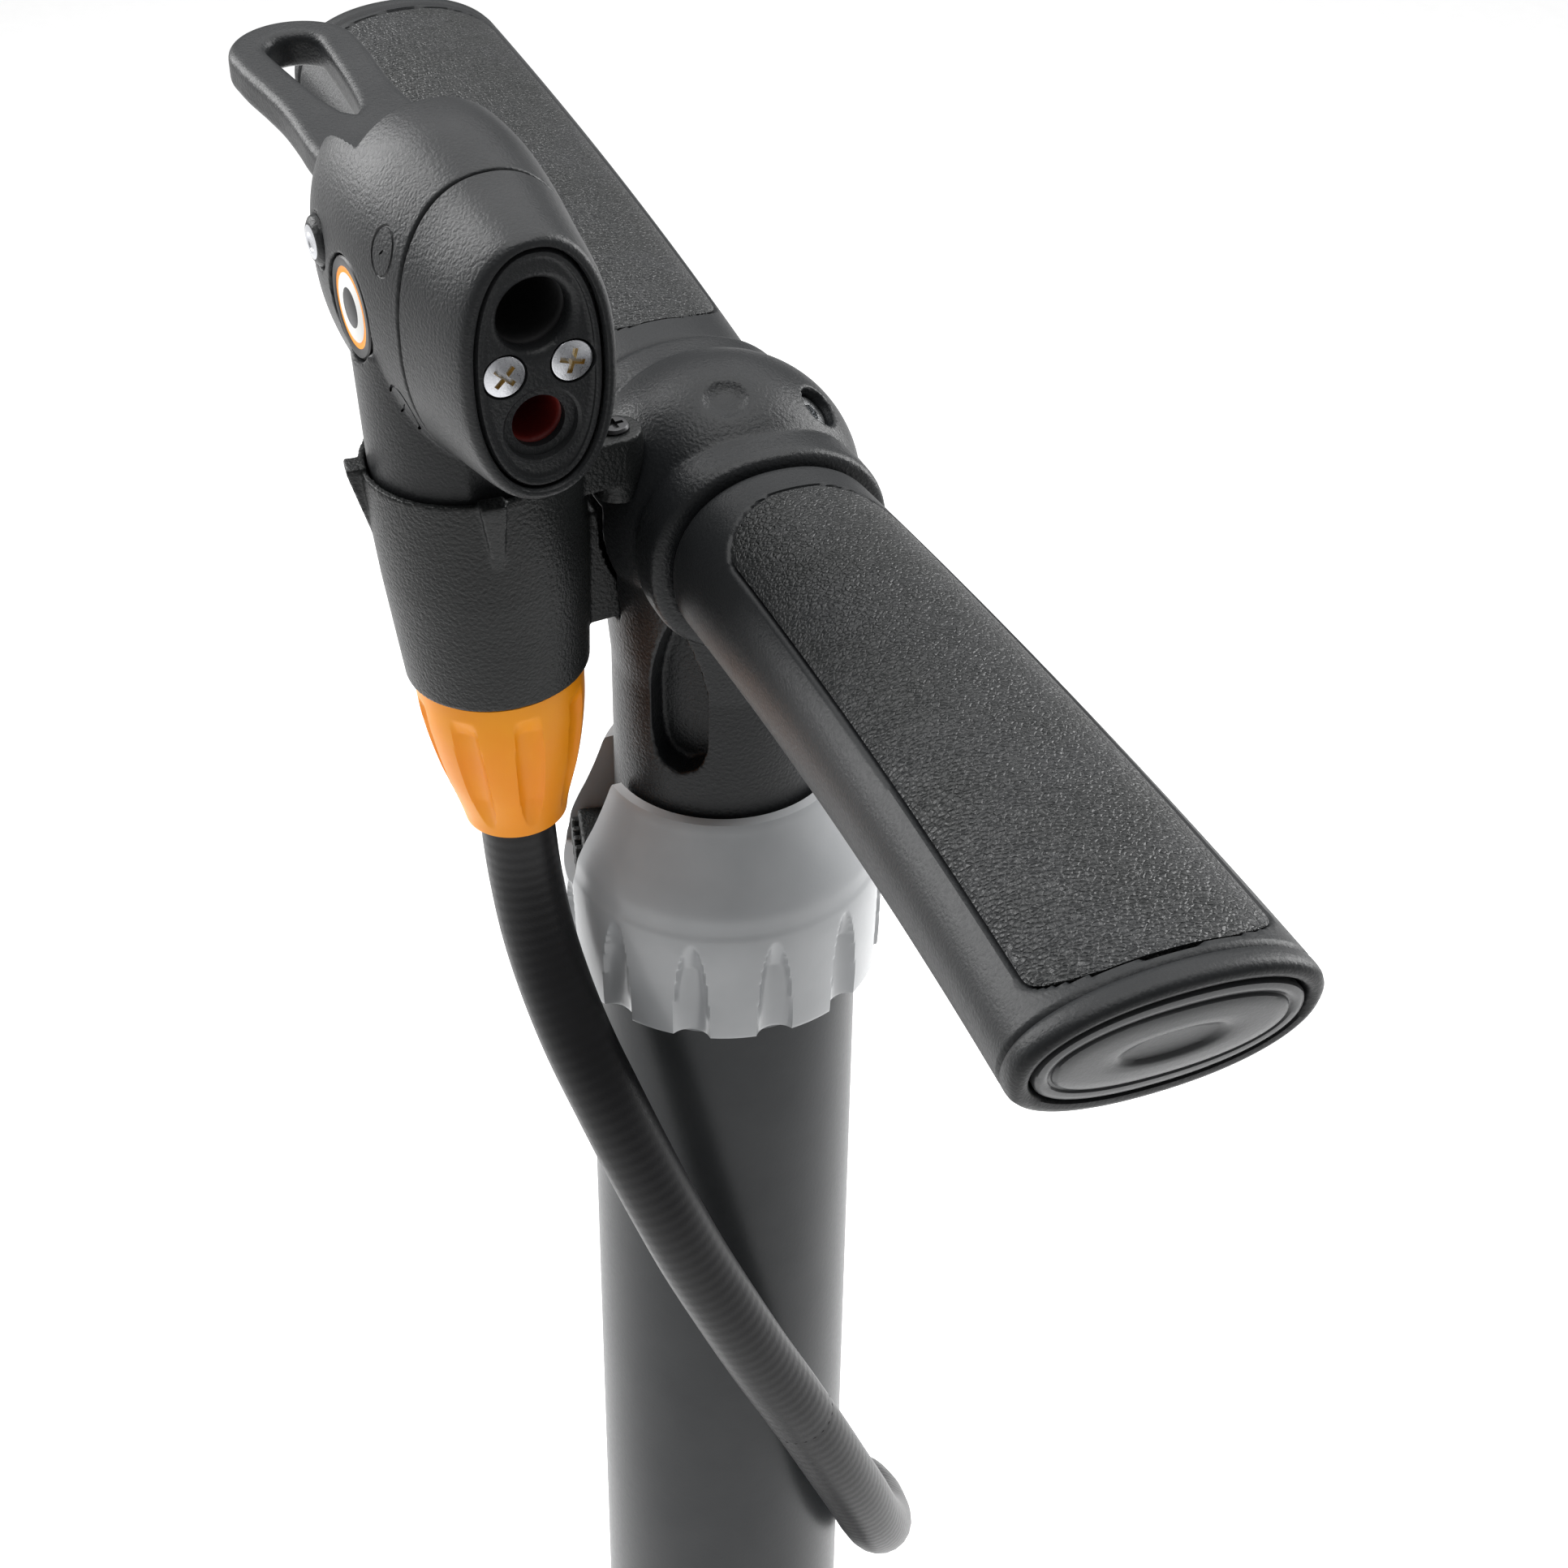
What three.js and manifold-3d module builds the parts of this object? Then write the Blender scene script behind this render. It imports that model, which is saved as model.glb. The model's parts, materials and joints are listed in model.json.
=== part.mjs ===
// Bicycle floor pump: steel barrel on a two-tread foot, T-handle with soft inlays, and a lever pump head
// parked in a holder cup beside the handle. Millimetres, +Z up, origin on the floor under the barrel axis,
// +X along the handle, -Y towards the parked head and the gauge.
import * as THREE from "three";
import { mergeVertices } from "three/addons/utils/BufferGeometryUtils.js";
import Module from "manifold-3d";

const wasm = await Module();
wasm.setup();

// ---- driving dimensions ----
const GAP = 0.3; // between faces that touch on the real object
const DEG = Math.PI / 180;

const BARREL_R = 19;
const BARREL_WALL = 1.5;
const BARREL_FOOT_Z = 26;
const BARREL_TOP_Z = 596;

const COLLAR_R = BARREL_R + 3;
const COLLAR_H = 33;
const COLLAR_OVERLAP = 10.3; // how far the collar's skirt reaches down over the barrel
const COLLAR_FLUTES = 12;
const COLLAR_FLUTE_TURN = 27 * DEG;
const COLLAR_SLOT_W = 11;
const COLLAR_SLOT_TURN = -15 * DEG;
const INSERT_H = 5;

const STEM_R = 14.8;
const STEM_WALL = 2.6;
const HANDLE_ABOVE_BARREL = 64.4;
const HUB_R = 17.8;
const LIP_X = 15.5;
const LIP_W = 16;
const LIP_H = 14;
const POCKET_W = 4;
const POCKET_H = 12;
const POCKET_TURNS = [45 * DEG, 135 * DEG, 225 * DEG, 315 * DEG];

const GRIP_ROOT_X = 17.5;
const GRIP_END_X = 125;
const GRIP_ROOT_W = 13.8;
const GRIP_END_W = 17;
const GRIP_ROOT_H = 12.4;
const GRIP_END_H = 9.6;
const GRIP_RISE = 9.4;
const GRIP_SWEEP = -4.6;
const GRIP_END_LEAN = 15 * DEG;
const PAD_THICK = 1.6;
const CAP_DEPTH = 5;
const CAP_INSET = 2.2;
const CORE_W = 8;
const CORE_H = 5;

const ROD_R = 5;
const PISTON_Z = 34;
const PISTON_H = 16;
const SEAL_H = 4.6;

const HEAD_Y = -33.1;
const HEAD_ABOVE_HANDLE = 13.1; // cup rim above the handle's axis
const HEAD_TILT = 3.5 * DEG;
const HEAD_COUNTER_TILT = 2 * DEG; // the head's top leans back from the line of its neck
const HEAD_YAW = 3.5 * DEG;
// keeps the clamp plunger's travel level, so it neither climbs nor falls
const HEAD_LEVEL = Math.atan(Math.sin(HEAD_TILT) * Math.sin(HEAD_YAW));
const CUP_H = 31.6;
const CUP_TOP_R = 14;
const CUP_BOTTOM_R = 11.9;
const CUP_TOP_WALL = 0.9;
const CUP_BOTTOM_WALL = 0.5;
const GUSSET_W = 2.6;
const GUSSET_H = 13;
const GUSSET_TURN = -8 * DEG;
const LUG_TOP = 0.4;
const NUT_H = 24;
const NUT_BOTTOM_R = 6.6;
const NUT_FLUTES = 8;

const FACE_X = 26;
const FACE_MID = 23.2; // height of the face's middle above the cup rim
const FACE_W = 9.2;
const FACE_H = 16.4;
const FACE_RIM = 1.5;
const PLATE_THICK = 3;
const PARTING_X = 7;
const LARGE_VALVE_R = 4.35;
const LARGE_VALVE_UP = 6.6;
const LARGE_GASKET_R = 5.7;
const SMALL_VALVE_R = 3.25;
const SMALL_VALVE_UP = -7.2;
const SMALL_GASKET_R = 5;
const GASKET_LENGTH = 12;
const SCREW_APART = 8.2;
const SCREW_HEAD_R = 2.55;
const SCREW_R = 1.2;
const BADGE_R = 6.2;
const BADGE_X = -2;
const BADGE_UP = 21.3;
const PIVOT_X = -13;
const PIVOT_UP = 25;
const PIN_R = 1.8;
const RIVET_R = 3.2;
const SLOT_HALF = 8.6;
const LEVER_REACH = 51.6;
const LEVER_END_R = 8.6;
const LEVER_EYE_R = 3.6;
const LEVER_EYE_FROM = -20;
const LEVER_THICK = 5;
const LEVER_ABOVE_PIVOT = 3.4;
const CAM_R = 6.4;
const PLUNGER_TRAVEL = 2.2;
const BARB_R = 4.2;

const HOSE_R = 5;

const BASE_X = 136;
const BASE_Y = 82;
const BASE_WAIST = 56;
const BASE_BOTTOM_Z = 3;
const BASE_TOP_Z = 16;
const FOOT_PAD_R = 12;
const FOOT_PAD_H = 5;
const FOOT_PAD_X = 106;
const FOOT_PAD_Y = 58;
const TOWER_R = BARREL_R + 11;
const TOWER_TOP_R = BARREL_R + 4.5;
const TOWER_TOP_Z = 66;
const PORT_Y = TOWER_R + 13;
const WASHER_H = 2;
const VALVE_POCKET_R = 9;
const VALVE_POCKET_Z = 9;
const CHECK_LIFT = 1.5;
const CHANNEL_R = 2;
const GAUGE_R = 26;
const GAUGE_DEPTH = 14;
const GAUGE_WALL = 2;
const GAUGE_Y = -(TOWER_R + 26);
const GAUGE_Z = 44;
const GAUGE_TILT = 40 * DEG;
const GAUGE_ZERO = 135 * DEG; // the needle's rest, turned from the top of the dial

// ---- heights and radii that follow from them ----
const BARREL_BORE_R = BARREL_R - BARREL_WALL;
const COLLAR_Z = BARREL_TOP_Z - COLLAR_OVERLAP;
const COLLAR_TOP_Z = COLLAR_Z + COLLAR_H;
const INSERT_TOP_Z = BARREL_TOP_Z + INSERT_H;
const HANDLE_Z = BARREL_TOP_Z + HANDLE_ABOVE_BARREL;
const HEAD_Z = HANDLE_Z + HEAD_ABOVE_HANDLE;
const NUT_TOP_R = CUP_BOTTOM_R - CUP_BOTTOM_WALL - GAP;
const PISTON_TOP_Z = PISTON_Z + PISTON_H;
const STEM_BOTTOM_Z = INSERT_TOP_Z + 3.6;
const LARGE_VALVE_Z = FACE_MID + LARGE_VALVE_UP;
const SMALL_VALVE_Z = FACE_MID + SMALL_VALVE_UP;
const PLATE_X = FACE_X - 0.4;
const GASKET_FRONT_X = PLATE_X - PLATE_THICK - GAP;
const GASKET_BACK_X = GASKET_FRONT_X - GASKET_LENGTH;

// ---- solids ----
const solidOf = (geometry) => {
  const bare = geometry.index ? geometry.toNonIndexed() : geometry.clone();
  for (const name of Object.keys(bare.attributes)) {
    if (name !== "position") bare.deleteAttribute(name);
  }
  const merged = mergeVertices(bare, 1e-4);
  return new wasm.Manifold(
    new wasm.Mesh({
      numProp: 3,
      vertProperties: merged.attributes.position.array,
      triVerts: new Uint32Array(merged.index.array),
    }),
  );
};

const geometryOf = (solid) => {
  const mesh = solid.getMesh();
  const geometry = new THREE.BufferGeometry();
  geometry.setAttribute("position", new THREE.BufferAttribute(mesh.vertProperties, 3));
  geometry.setIndex(new THREE.BufferAttribute(mesh.triVerts, 1));
  return geometry;
};

const join = (...pieces) => geometryOf(pieces.map(solidOf).reduce((a, b) => a.add(b)));
const cut = (body, ...tools) => geometryOf(tools.map(solidOf).reduce((a, b) => a.subtract(b), solidOf(body)));
const overlap = (a, b) => geometryOf(solidOf(a).intersect(solidOf(b)));

// A solid of revolution about +Z from [radius, height] points.
const turned = (points, segments = 24) =>
  new THREE.LatheGeometry(points.map(([r, z]) => new THREE.Vector2(r, z)), segments).rotateX(Math.PI / 2);

const sidesFor = (radius) => Math.round(12 + radius * 0.8);

const rod = (radius, z0, z1, segments = sidesFor(radius), topRadius = radius) =>
  new THREE.CylinderGeometry(topRadius, radius, z1 - z0, segments)
    .rotateX(Math.PI / 2)
    .translate(0, 0, (z0 + z1) / 2);

const ring = (outer, inner, z0, z1, segments = sidesFor(outer)) =>
  turned([[inner, z0], [outer, z0], [outer, z1], [inner, z1], [inner, z0]], segments);

const box = (x0, x1, y0, y1, z0, z1) =>
  new THREE.BoxGeometry(x1 - x0, y1 - y0, z1 - z0).translate((x0 + x1) / 2, (y0 + y1) / 2, (z0 + z1) / 2);

const alongX = (geometry, z = 0, y = 0) => geometry.rotateY(Math.PI / 2).translate(0, y, z);

// A closed run of sections: place(t, angle, r) is the point t along it, at that angle, r of the way out.
const loft = (place, sides, rows) => {
  const geometry = new THREE.CylinderGeometry(1, 1, 1, sides, rows);
  const position = geometry.attributes.position;
  for (let i = 0; i < position.count; i++) {
    const [x, y, z] = [position.getX(i), position.getY(i), position.getZ(i)];
    const r = Math.min(1, Math.hypot(x, z));
    const p = place(y + 0.5, Math.atan2(x, z), r);
    position.setXYZ(i, p.x, p.y, p.z);
  }
  return geometry;
};

const mix = (a, b, t) => a + (b - a) * t;
const power = (v, e) => Math.sign(v) * Math.abs(v) ** e;

// A value read from [position, value] rows, in straight steps from row to row.
const track = (rows, x) => {
  if (x <= rows[0][0]) return rows[0][1];
  for (let i = 1; i < rows.length; i++) {
    const [x0, a] = rows[i - 1];
    const [x1, b] = rows[i];
    if (x <= x1) return mix(a, b, (x - x0) / (x1 - x0));
  }
  return rows.at(-1)[1];
};

// A solid along +X whose oval sections come from [x, middle height, half width, half height] rows.
const ovalRun = (rows, { grow = 0, sides = 20, squareness = 0.9, from, to } = {}) => {
  const x0 = from ?? rows[0][0];
  const x1 = to ?? rows.at(-1)[0];
  const column = (k) => rows.map((row) => [row[0], row[k]]);
  return loft((t, a, r) => {
    const x = mix(x0, x1, t);
    const w = Math.max(0.4, track(column(2), x) + grow);
    const h = Math.max(0.4, track(column(3), x) + grow);
    return new THREE.Vector3(
      x,
      power(Math.cos(a), squareness) * w * r,
      track(column(1), x) + power(Math.sin(a), squareness) * h * r,
    );
  }, sides, Math.round(Math.abs(x1 - x0) / 5));
};

// ---- materials ----
const paint = (color, roughness, metalness = 0) =>
  new THREE.MeshStandardMaterial({ color, roughness, metalness });
const DARK = paint(0x3a3d3f, 0.55);
const BLACK = paint(0x1f2122, 0.6);
const GRAIN = paint(0x26282a, 0.75);
const GREY = paint(0x9b9ea0, 0.45, 0.1);
const ORANGE = paint(0xf58a14, 0.35);
const RUBBER = paint(0x161617, 0.9);
const STEEL = paint(0xc4c7ca, 0.3, 1);
const BRASS = paint(0xb58d3d, 0.35, 1);
const ENAMEL = paint(0x3f4244, 0.5, 0.3);
const WHITE = paint(0xe8e8e4, 0.6);
const RED = paint(0x8f1d16, 0.8);
const CLEAR = paint(0xdfe7ea, 0.1);

const pump = new THREE.Group();
const add = (name, geometry, material, parent = pump) => {
  const mesh = new THREE.Mesh(geometry, material);
  mesh.name = name;
  parent.add(mesh);
  return mesh;
};

// ---- foot ----
const footOutline = () => {
  const shape = new THREE.Shape();
  const r = 34;
  shape.moveTo(-BASE_X + r, -BASE_Y);
  shape.quadraticCurveTo(-BASE_X, -BASE_Y, -BASE_X, -BASE_Y + r);
  shape.lineTo(-BASE_X, BASE_Y - r);
  shape.quadraticCurveTo(-BASE_X, BASE_Y, -BASE_X + r, BASE_Y);
  shape.bezierCurveTo(-r * 2, BASE_Y, -r * 1.6, BASE_WAIST, 0, BASE_WAIST);
  shape.bezierCurveTo(r * 1.6, BASE_WAIST, r * 2, BASE_Y, BASE_X - r, BASE_Y);
  shape.quadraticCurveTo(BASE_X, BASE_Y, BASE_X, BASE_Y - r);
  shape.lineTo(BASE_X, -BASE_Y + r);
  shape.quadraticCurveTo(BASE_X, -BASE_Y, BASE_X - r, -BASE_Y);
  shape.bezierCurveTo(r * 2, -BASE_Y, r * 1.6, GAUGE_Y - 14, 0, GAUGE_Y - 14);
  shape.bezierCurveTo(-r * 1.6, GAUGE_Y - 14, -r * 2, -BASE_Y, -BASE_X + r, -BASE_Y);
  return shape;
};
const footSlab = new THREE.ExtrudeGeometry(footOutline(), {
  depth: BASE_TOP_Z - BASE_BOTTOM_Z,
  bevelEnabled: false,
  curveSegments: 5,
}).translate(0, 0, BASE_BOTTOM_Z);
const tower = turned([
  [0, BASE_TOP_Z - 5],
  [TOWER_R + 4, BASE_TOP_Z - 5],
  [TOWER_R + 1, BASE_TOP_Z + 3],
  [TOWER_R - 3, BASE_TOP_Z + 14],
  [TOWER_TOP_R, TOWER_TOP_Z],
  [0, TOWER_TOP_Z],
], 32);
const washerZ = BARREL_FOOT_Z - WASHER_H - GAP;
const towerBore = rod(BARREL_R + GAP, washerZ - GAP, TOWER_TOP_Z + 1);
const valvePocket = rod(VALVE_POCKET_R, VALVE_POCKET_Z, washerZ);
const channelZ = VALVE_POCKET_Z + CHANNEL_R + 0.5;
const channel = rod(CHANNEL_R, GAUGE_Y + 6, PORT_Y, 12).rotateX(-Math.PI / 2).translate(0, 0, channelZ);
const riser = (y) => rod(CHANNEL_R, channelZ, BASE_TOP_Z + 1, 12).translate(0, y, 0);
const footCorners = [[1, 1], [-1, 1], [-1, -1], [1, -1]].map(([i, j]) => [i * FOOT_PAD_X, j * FOOT_PAD_Y]);
const padPockets = footCorners.map(([x, y]) =>
  rod(FOOT_PAD_R + GAP, BASE_BOTTOM_Z - 1, FOOT_PAD_H + GAP).translate(x, y, 0));
add("base", cut(
  join(footSlab, tower),
  towerBore, valvePocket, channel, riser(GAUGE_Y + 6), riser(PORT_Y), ...padPockets,
), BLACK);
footCorners.forEach(([x, y], i) => {
  add(`foot_pad_${i + 1}`, rod(FOOT_PAD_R, 0, FOOT_PAD_H), RUBBER).position.set(x, y, 0);
});

add("foot_washer", ring(BARREL_R, BARREL_BORE_R - 4, washerZ, washerZ + WASHER_H), RUBBER);
const seatTop = washerZ - GAP;
const seatBottom = seatTop - 6;
add("valve_seat", turned([
  [2.5, seatBottom],
  [VALVE_POCKET_R - GAP, seatBottom],
  [VALVE_POCKET_R - GAP, seatTop],
  [2.5, seatTop],
  [2.5, seatBottom],
]), BRASS);
const poppetTop = seatBottom - GAP;
const springRoom = poppetTop - 2 - VALVE_POCKET_Z;
add("check_poppet", turned([
  [0, poppetTop],
  [4.6, poppetTop],
  [4.6, poppetTop - 2],
  [1.4, poppetTop - 2],
  [1.4, poppetTop - springRoom + CHECK_LIFT * 1.4],
  [0, poppetTop - springRoom + CHECK_LIFT * 1.4],
].reverse(), 20), BRASS);
add("check_spring", ring(3.6, 2.6, VALVE_POCKET_Z + GAP, poppetTop - 2 - GAP), STEEL);

// ---- gauge ----
const gauge = new THREE.Group();
gauge.position.set(0, GAUGE_Y, GAUGE_Z);
gauge.rotation.x = GAUGE_TILT;
gauge.updateMatrix();
pump.add(gauge);
const gaugeInner = GAUGE_R - GAUGE_WALL;
const casePedestal = box(-9, 9, GAUGE_Y - 4, GAUGE_Y + 14, BASE_TOP_Z + GAP, GAUGE_Z - 4)
  .applyMatrix4(gauge.matrix.clone().invert());
add("gauge_case", cut(
  join(rod(GAUGE_R, -GAUGE_DEPTH, 0), casePedestal),
  rod(gaugeInner, -GAUGE_DEPTH + GAUGE_WALL, 20),
), BLACK, gauge);
const dialZ = -4.4;
add("gauge_dial", ring(gaugeInner - GAP, 1.4, dialZ - 0.8, dialZ), WHITE, gauge);
add("gauge_needle", join(
  rod(1, dialZ - 4, dialZ + 1.6, 16),
  rod(2.6, dialZ + 0.5, dialZ + 1.6),
  box(-0.6, 0.6, -5, gaugeInner - 6, dialZ + 0.6, dialZ + 1.4),
).rotateZ(GAUGE_ZERO), RED, gauge);
add("gauge_movement", join(
  ring(4, 1 + GAP, dialZ - 4, dialZ - 1.2),
  box(-1.5, 1.5, -gaugeInner + 8, -3.5, dialZ - 4, dialZ - 1.6),
), BRASS, gauge);
add("gauge_lens", rod(gaugeInner - GAP, -1.6, -0.2), CLEAR, gauge);
add("gauge_bezel", turned([
  [gaugeInner - 1.4, GAP],
  [GAUGE_R + GAP, GAP],
  [GAUGE_R + GAP, -5],
  [GAUGE_R + 1.8, -5],
  [GAUGE_R + 1.8, 0.6],
  [GAUGE_R - 0.4, 2.4],
  [gaugeInner - 1.4, 1.4],
  [gaugeInner - 1.4, GAP],
]), GREY, gauge);

// ---- hose port ----
const portZ = BASE_TOP_Z + GAP;
const hoseStartZ = portZ + 14;
add("hose_port", join(
  rod(7.5, portZ, portZ + 5, 6),
  rod(HOSE_R - 0.4, portZ + 4, hoseStartZ - GAP),
).translate(0, PORT_Y, 0), BRASS);
add("hose_ferrule", ring(HOSE_R + 1.7, HOSE_R + GAP, portZ + 5 + GAP, hoseStartZ + 6)
  .translate(0, PORT_Y, 0), STEEL);

// ---- barrel and its top ----
add("barrel", ring(BARREL_R, BARREL_BORE_R, BARREL_FOOT_Z, BARREL_TOP_Z), ENAMEL);

const insertR = BARREL_R + 0.8;
const collarOuter = turned([
  [0, COLLAR_Z],
  [COLLAR_R, COLLAR_Z],
  [COLLAR_R + 0.3, COLLAR_Z + 8],
  [COLLAR_R + 0.2, COLLAR_Z + 15],
  [COLLAR_R - 1, COLLAR_Z + 20],
  [COLLAR_R - 3.2, COLLAR_Z + 25.5],
  [STEM_R + GAP + 1.6, COLLAR_TOP_Z - 1],
  [STEM_R + GAP + 0.8, COLLAR_TOP_Z],
  [0, COLLAR_TOP_Z],
], 36);
const collarHollow = turned([
  [0, COLLAR_Z - 1],
  [insertR + GAP, COLLAR_Z - 1],
  [insertR + GAP, INSERT_TOP_Z],
  [STEM_R + GAP, INSERT_TOP_Z + 5],
  [STEM_R + GAP, COLLAR_TOP_Z + 1],
  [0, COLLAR_TOP_Z + 1],
], 32);
const flutes = [...Array(COLLAR_FLUTES).keys()].map((i) => {
  const turn = COLLAR_FLUTE_TURN + (i / COLLAR_FLUTES) * 2 * Math.PI;
  return rod(3.2, COLLAR_Z - 1, COLLAR_Z + 15, 6, 1.2)
    .translate((COLLAR_R + 2.2) * Math.cos(turn), (COLLAR_R + 2.2) * Math.sin(turn), 0);
});
const collarSlot = box(
  -COLLAR_SLOT_W / 2, COLLAR_SLOT_W / 2, -COLLAR_R - 5, -STEM_R + 2, INSERT_TOP_Z + GAP, COLLAR_TOP_Z + 1,
).rotateZ(COLLAR_SLOT_TURN);
add("collar", cut(collarOuter, collarHollow, ...flutes, collarSlot), GREY);

const insertLegR = BARREL_BORE_R - GAP;
const bushR = ROD_R + 3;
add("barrel_cap", turned([
  [insertLegR - 2.4, BARREL_TOP_Z - 12],
  [insertLegR, BARREL_TOP_Z - 12],
  [insertLegR, BARREL_TOP_Z + GAP],
  [insertR, BARREL_TOP_Z + GAP],
  [insertR, INSERT_TOP_Z - GAP],
  [bushR + GAP, INSERT_TOP_Z - GAP],
  [bushR + GAP, BARREL_TOP_Z - 4],
  [insertLegR - 2.4, BARREL_TOP_Z - 6],
  [insertLegR - 2.4, BARREL_TOP_Z - 12],
]), BLACK);
add("rod_bush", ring(bushR, ROD_R + GAP, BARREL_TOP_Z - 8, INSERT_TOP_Z - GAP), WHITE);
const latchZ = INSERT_TOP_Z + 2 * GAP;
const latchHalf = COLLAR_SLOT_W / 2 - GAP;
const latchRibs = [-0.62, 0, 0.62].map((k) => box(
  k * latchHalf - 0.6, k * latchHalf + 0.6, -COLLAR_R + 1.2, -COLLAR_R + 3, latchZ + 0.4, latchZ + 5));
add("slot_latch", join(
  box(-latchHalf, latchHalf, -COLLAR_R + 2.2, -STEM_R - 2 * GAP, latchZ, latchZ + 5.4),
  ...latchRibs,
).rotateZ(COLLAR_SLOT_TURN), BLACK);

// ---- parked head and its holder share one leaning frame ----
const parked = new THREE.Group();
parked.position.set(0, HEAD_Y, HEAD_Z);
parked.rotation.x = HEAD_TILT;
parked.updateMatrix();
pump.add(parked);
const toPump = (geometry) => geometry.applyMatrix4(parked.matrix);
const toParked = (geometry) => geometry.applyMatrix4(parked.matrix.clone().invert());
const upright = new THREE.Group();
upright.rotation.set(-HEAD_COUNTER_TILT, HEAD_LEVEL, HEAD_YAW, "ZXY");
upright.updateMatrix();
parked.add(upright);
const toUpright = (geometry) => geometry.applyMatrix4(upright.matrix.clone().invert());

// ---- handle hub, stem and the bar inside the grips, in one moulding ----
const gripMiddle = (t) => new THREE.Vector3(
  mix(GRIP_ROOT_X, GRIP_END_X, t),
  GRIP_SWEEP * t * t,
  HANDLE_Z + GRIP_RISE * t,
);
const CORE_END = 0.9;
const coreBar = (side, grow) => {
  const end = gripMiddle(CORE_END);
  return loft((t, a, r) => new THREE.Vector3(
    side * mix(4, end.x + grow, t),
    mix(0, end.y, t) + side * power(Math.cos(a), 0.6) * (CORE_W + grow) * r,
    mix(HANDLE_Z - 1, end.z, t) + power(Math.sin(a), 0.6) * (CORE_H + grow) * r,
  ), 12, 1);
};
const lip = (side) => loft((t, a, r) => new THREE.Vector3(
  side * mix(3, LIP_X + 1.4 * Math.sin(a) ** 2, t),
  side * power(Math.cos(a), 0.9) * LIP_W * r * mix(0.95, 1, t),
  HANDLE_Z - 0.4 + power(Math.sin(a), 0.9) * LIP_H * r * mix(0.97, 1, t),
), 20, 1);
const stem = turned([
  [STEM_R - STEM_WALL, STEM_BOTTOM_Z],
  [STEM_R, STEM_BOTTOM_Z],
  [STEM_R, HANDLE_Z - 24],
  [STEM_R + 1.4, HANDLE_Z - 8],
  [STEM_R + 1.4, HANDLE_Z],
  [STEM_R - STEM_WALL, HANDLE_Z - 14],
  [STEM_R - STEM_WALL, STEM_BOTTOM_Z],
]);
const ball = (grow) =>
  new THREE.SphereGeometry(HUB_R + grow, 20, 10).rotateX(Math.PI / 2).translate(0, 0, HANDLE_Z);
const onBall = (geometry, direction) => {
  const up = new THREE.Vector3(0, 0, 1);
  const turn = new THREE.Quaternion().setFromUnitVectors(up, direction.clone().normalize());
  return geometry.applyQuaternion(turn).translate(0, 0, HANDLE_Z);
};
const PLUG_WAY = new THREE.Vector3(0.36, -0.12, 1);
const SCREW_WAY = new THREE.Vector3(0, 0.8, 0.6);
const PLUG_R = 3.4;
const SET_SCREW_R = 2.6;
const stemPocket = (turn) => loft((t, a, r) => new THREE.Vector3(
  mix(STEM_R - STEM_WALL / 2, STEM_R + 5, t),
  Math.cos(a) * POCKET_W * r,
  HANDLE_Z - 23 + Math.sin(a) * POCKET_H * r,
), 10, 1).rotateZ(turn);
const RAIL_HALF = 2.6;
const rail = (grow) => box(
  -RAIL_HALF - grow, RAIL_HALF + grow,
  CUP_BOTTOM_R, -HEAD_Y - STEM_R + 2 + grow,
  -CUP_H + 3 - grow, -12 + grow,
);
const LUG_Y = 17;
const LUG_X = 4.6;
const lugScrewHole = (grow) => rod(1 + grow, LUG_TOP - 13 - grow, LUG_TOP + 1, 12).translate(LUG_X, LUG_Y, 0);
const rodTop = HANDLE_Z + 7;
add("handle_hub", cut(
  join(ball(0), stem, lip(1), lip(-1), coreBar(1, 0), coreBar(-1, 0)),
  rod(ROD_R + GAP, STEM_BOTTOM_Z - 1, rodTop + GAP),
  onBall(rod(PLUG_R + GAP, HUB_R - 2.6, HUB_R + 4), PLUG_WAY),
  onBall(rod(SET_SCREW_R + GAP, HUB_R - 7, HUB_R + 4, 16), SCREW_WAY),
  ...POCKET_TURNS.map(stemPocket),
  toPump(rail(GAP)),
  toPump(lugScrewHole(GAP)),
), BLACK);
add("hub_plug", onBall(turned([
  [0, HUB_R - 2.2],
  [PLUG_R, HUB_R - 2.2],
  [PLUG_R, HUB_R - 0.5],
  [0, HUB_R - 1.2],
], 20), PLUG_WAY), BLACK);
add("hub_screw", onBall(rod(SET_SCREW_R, HUB_R - 6.6, HUB_R - 2.6, 16), SCREW_WAY), STEEL);
add("stop_bumper", ring(STEM_R - STEM_WALL - 1, ROD_R + 2 * GAP, INSERT_TOP_Z, INSERT_TOP_Z + 3), RUBBER);

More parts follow.
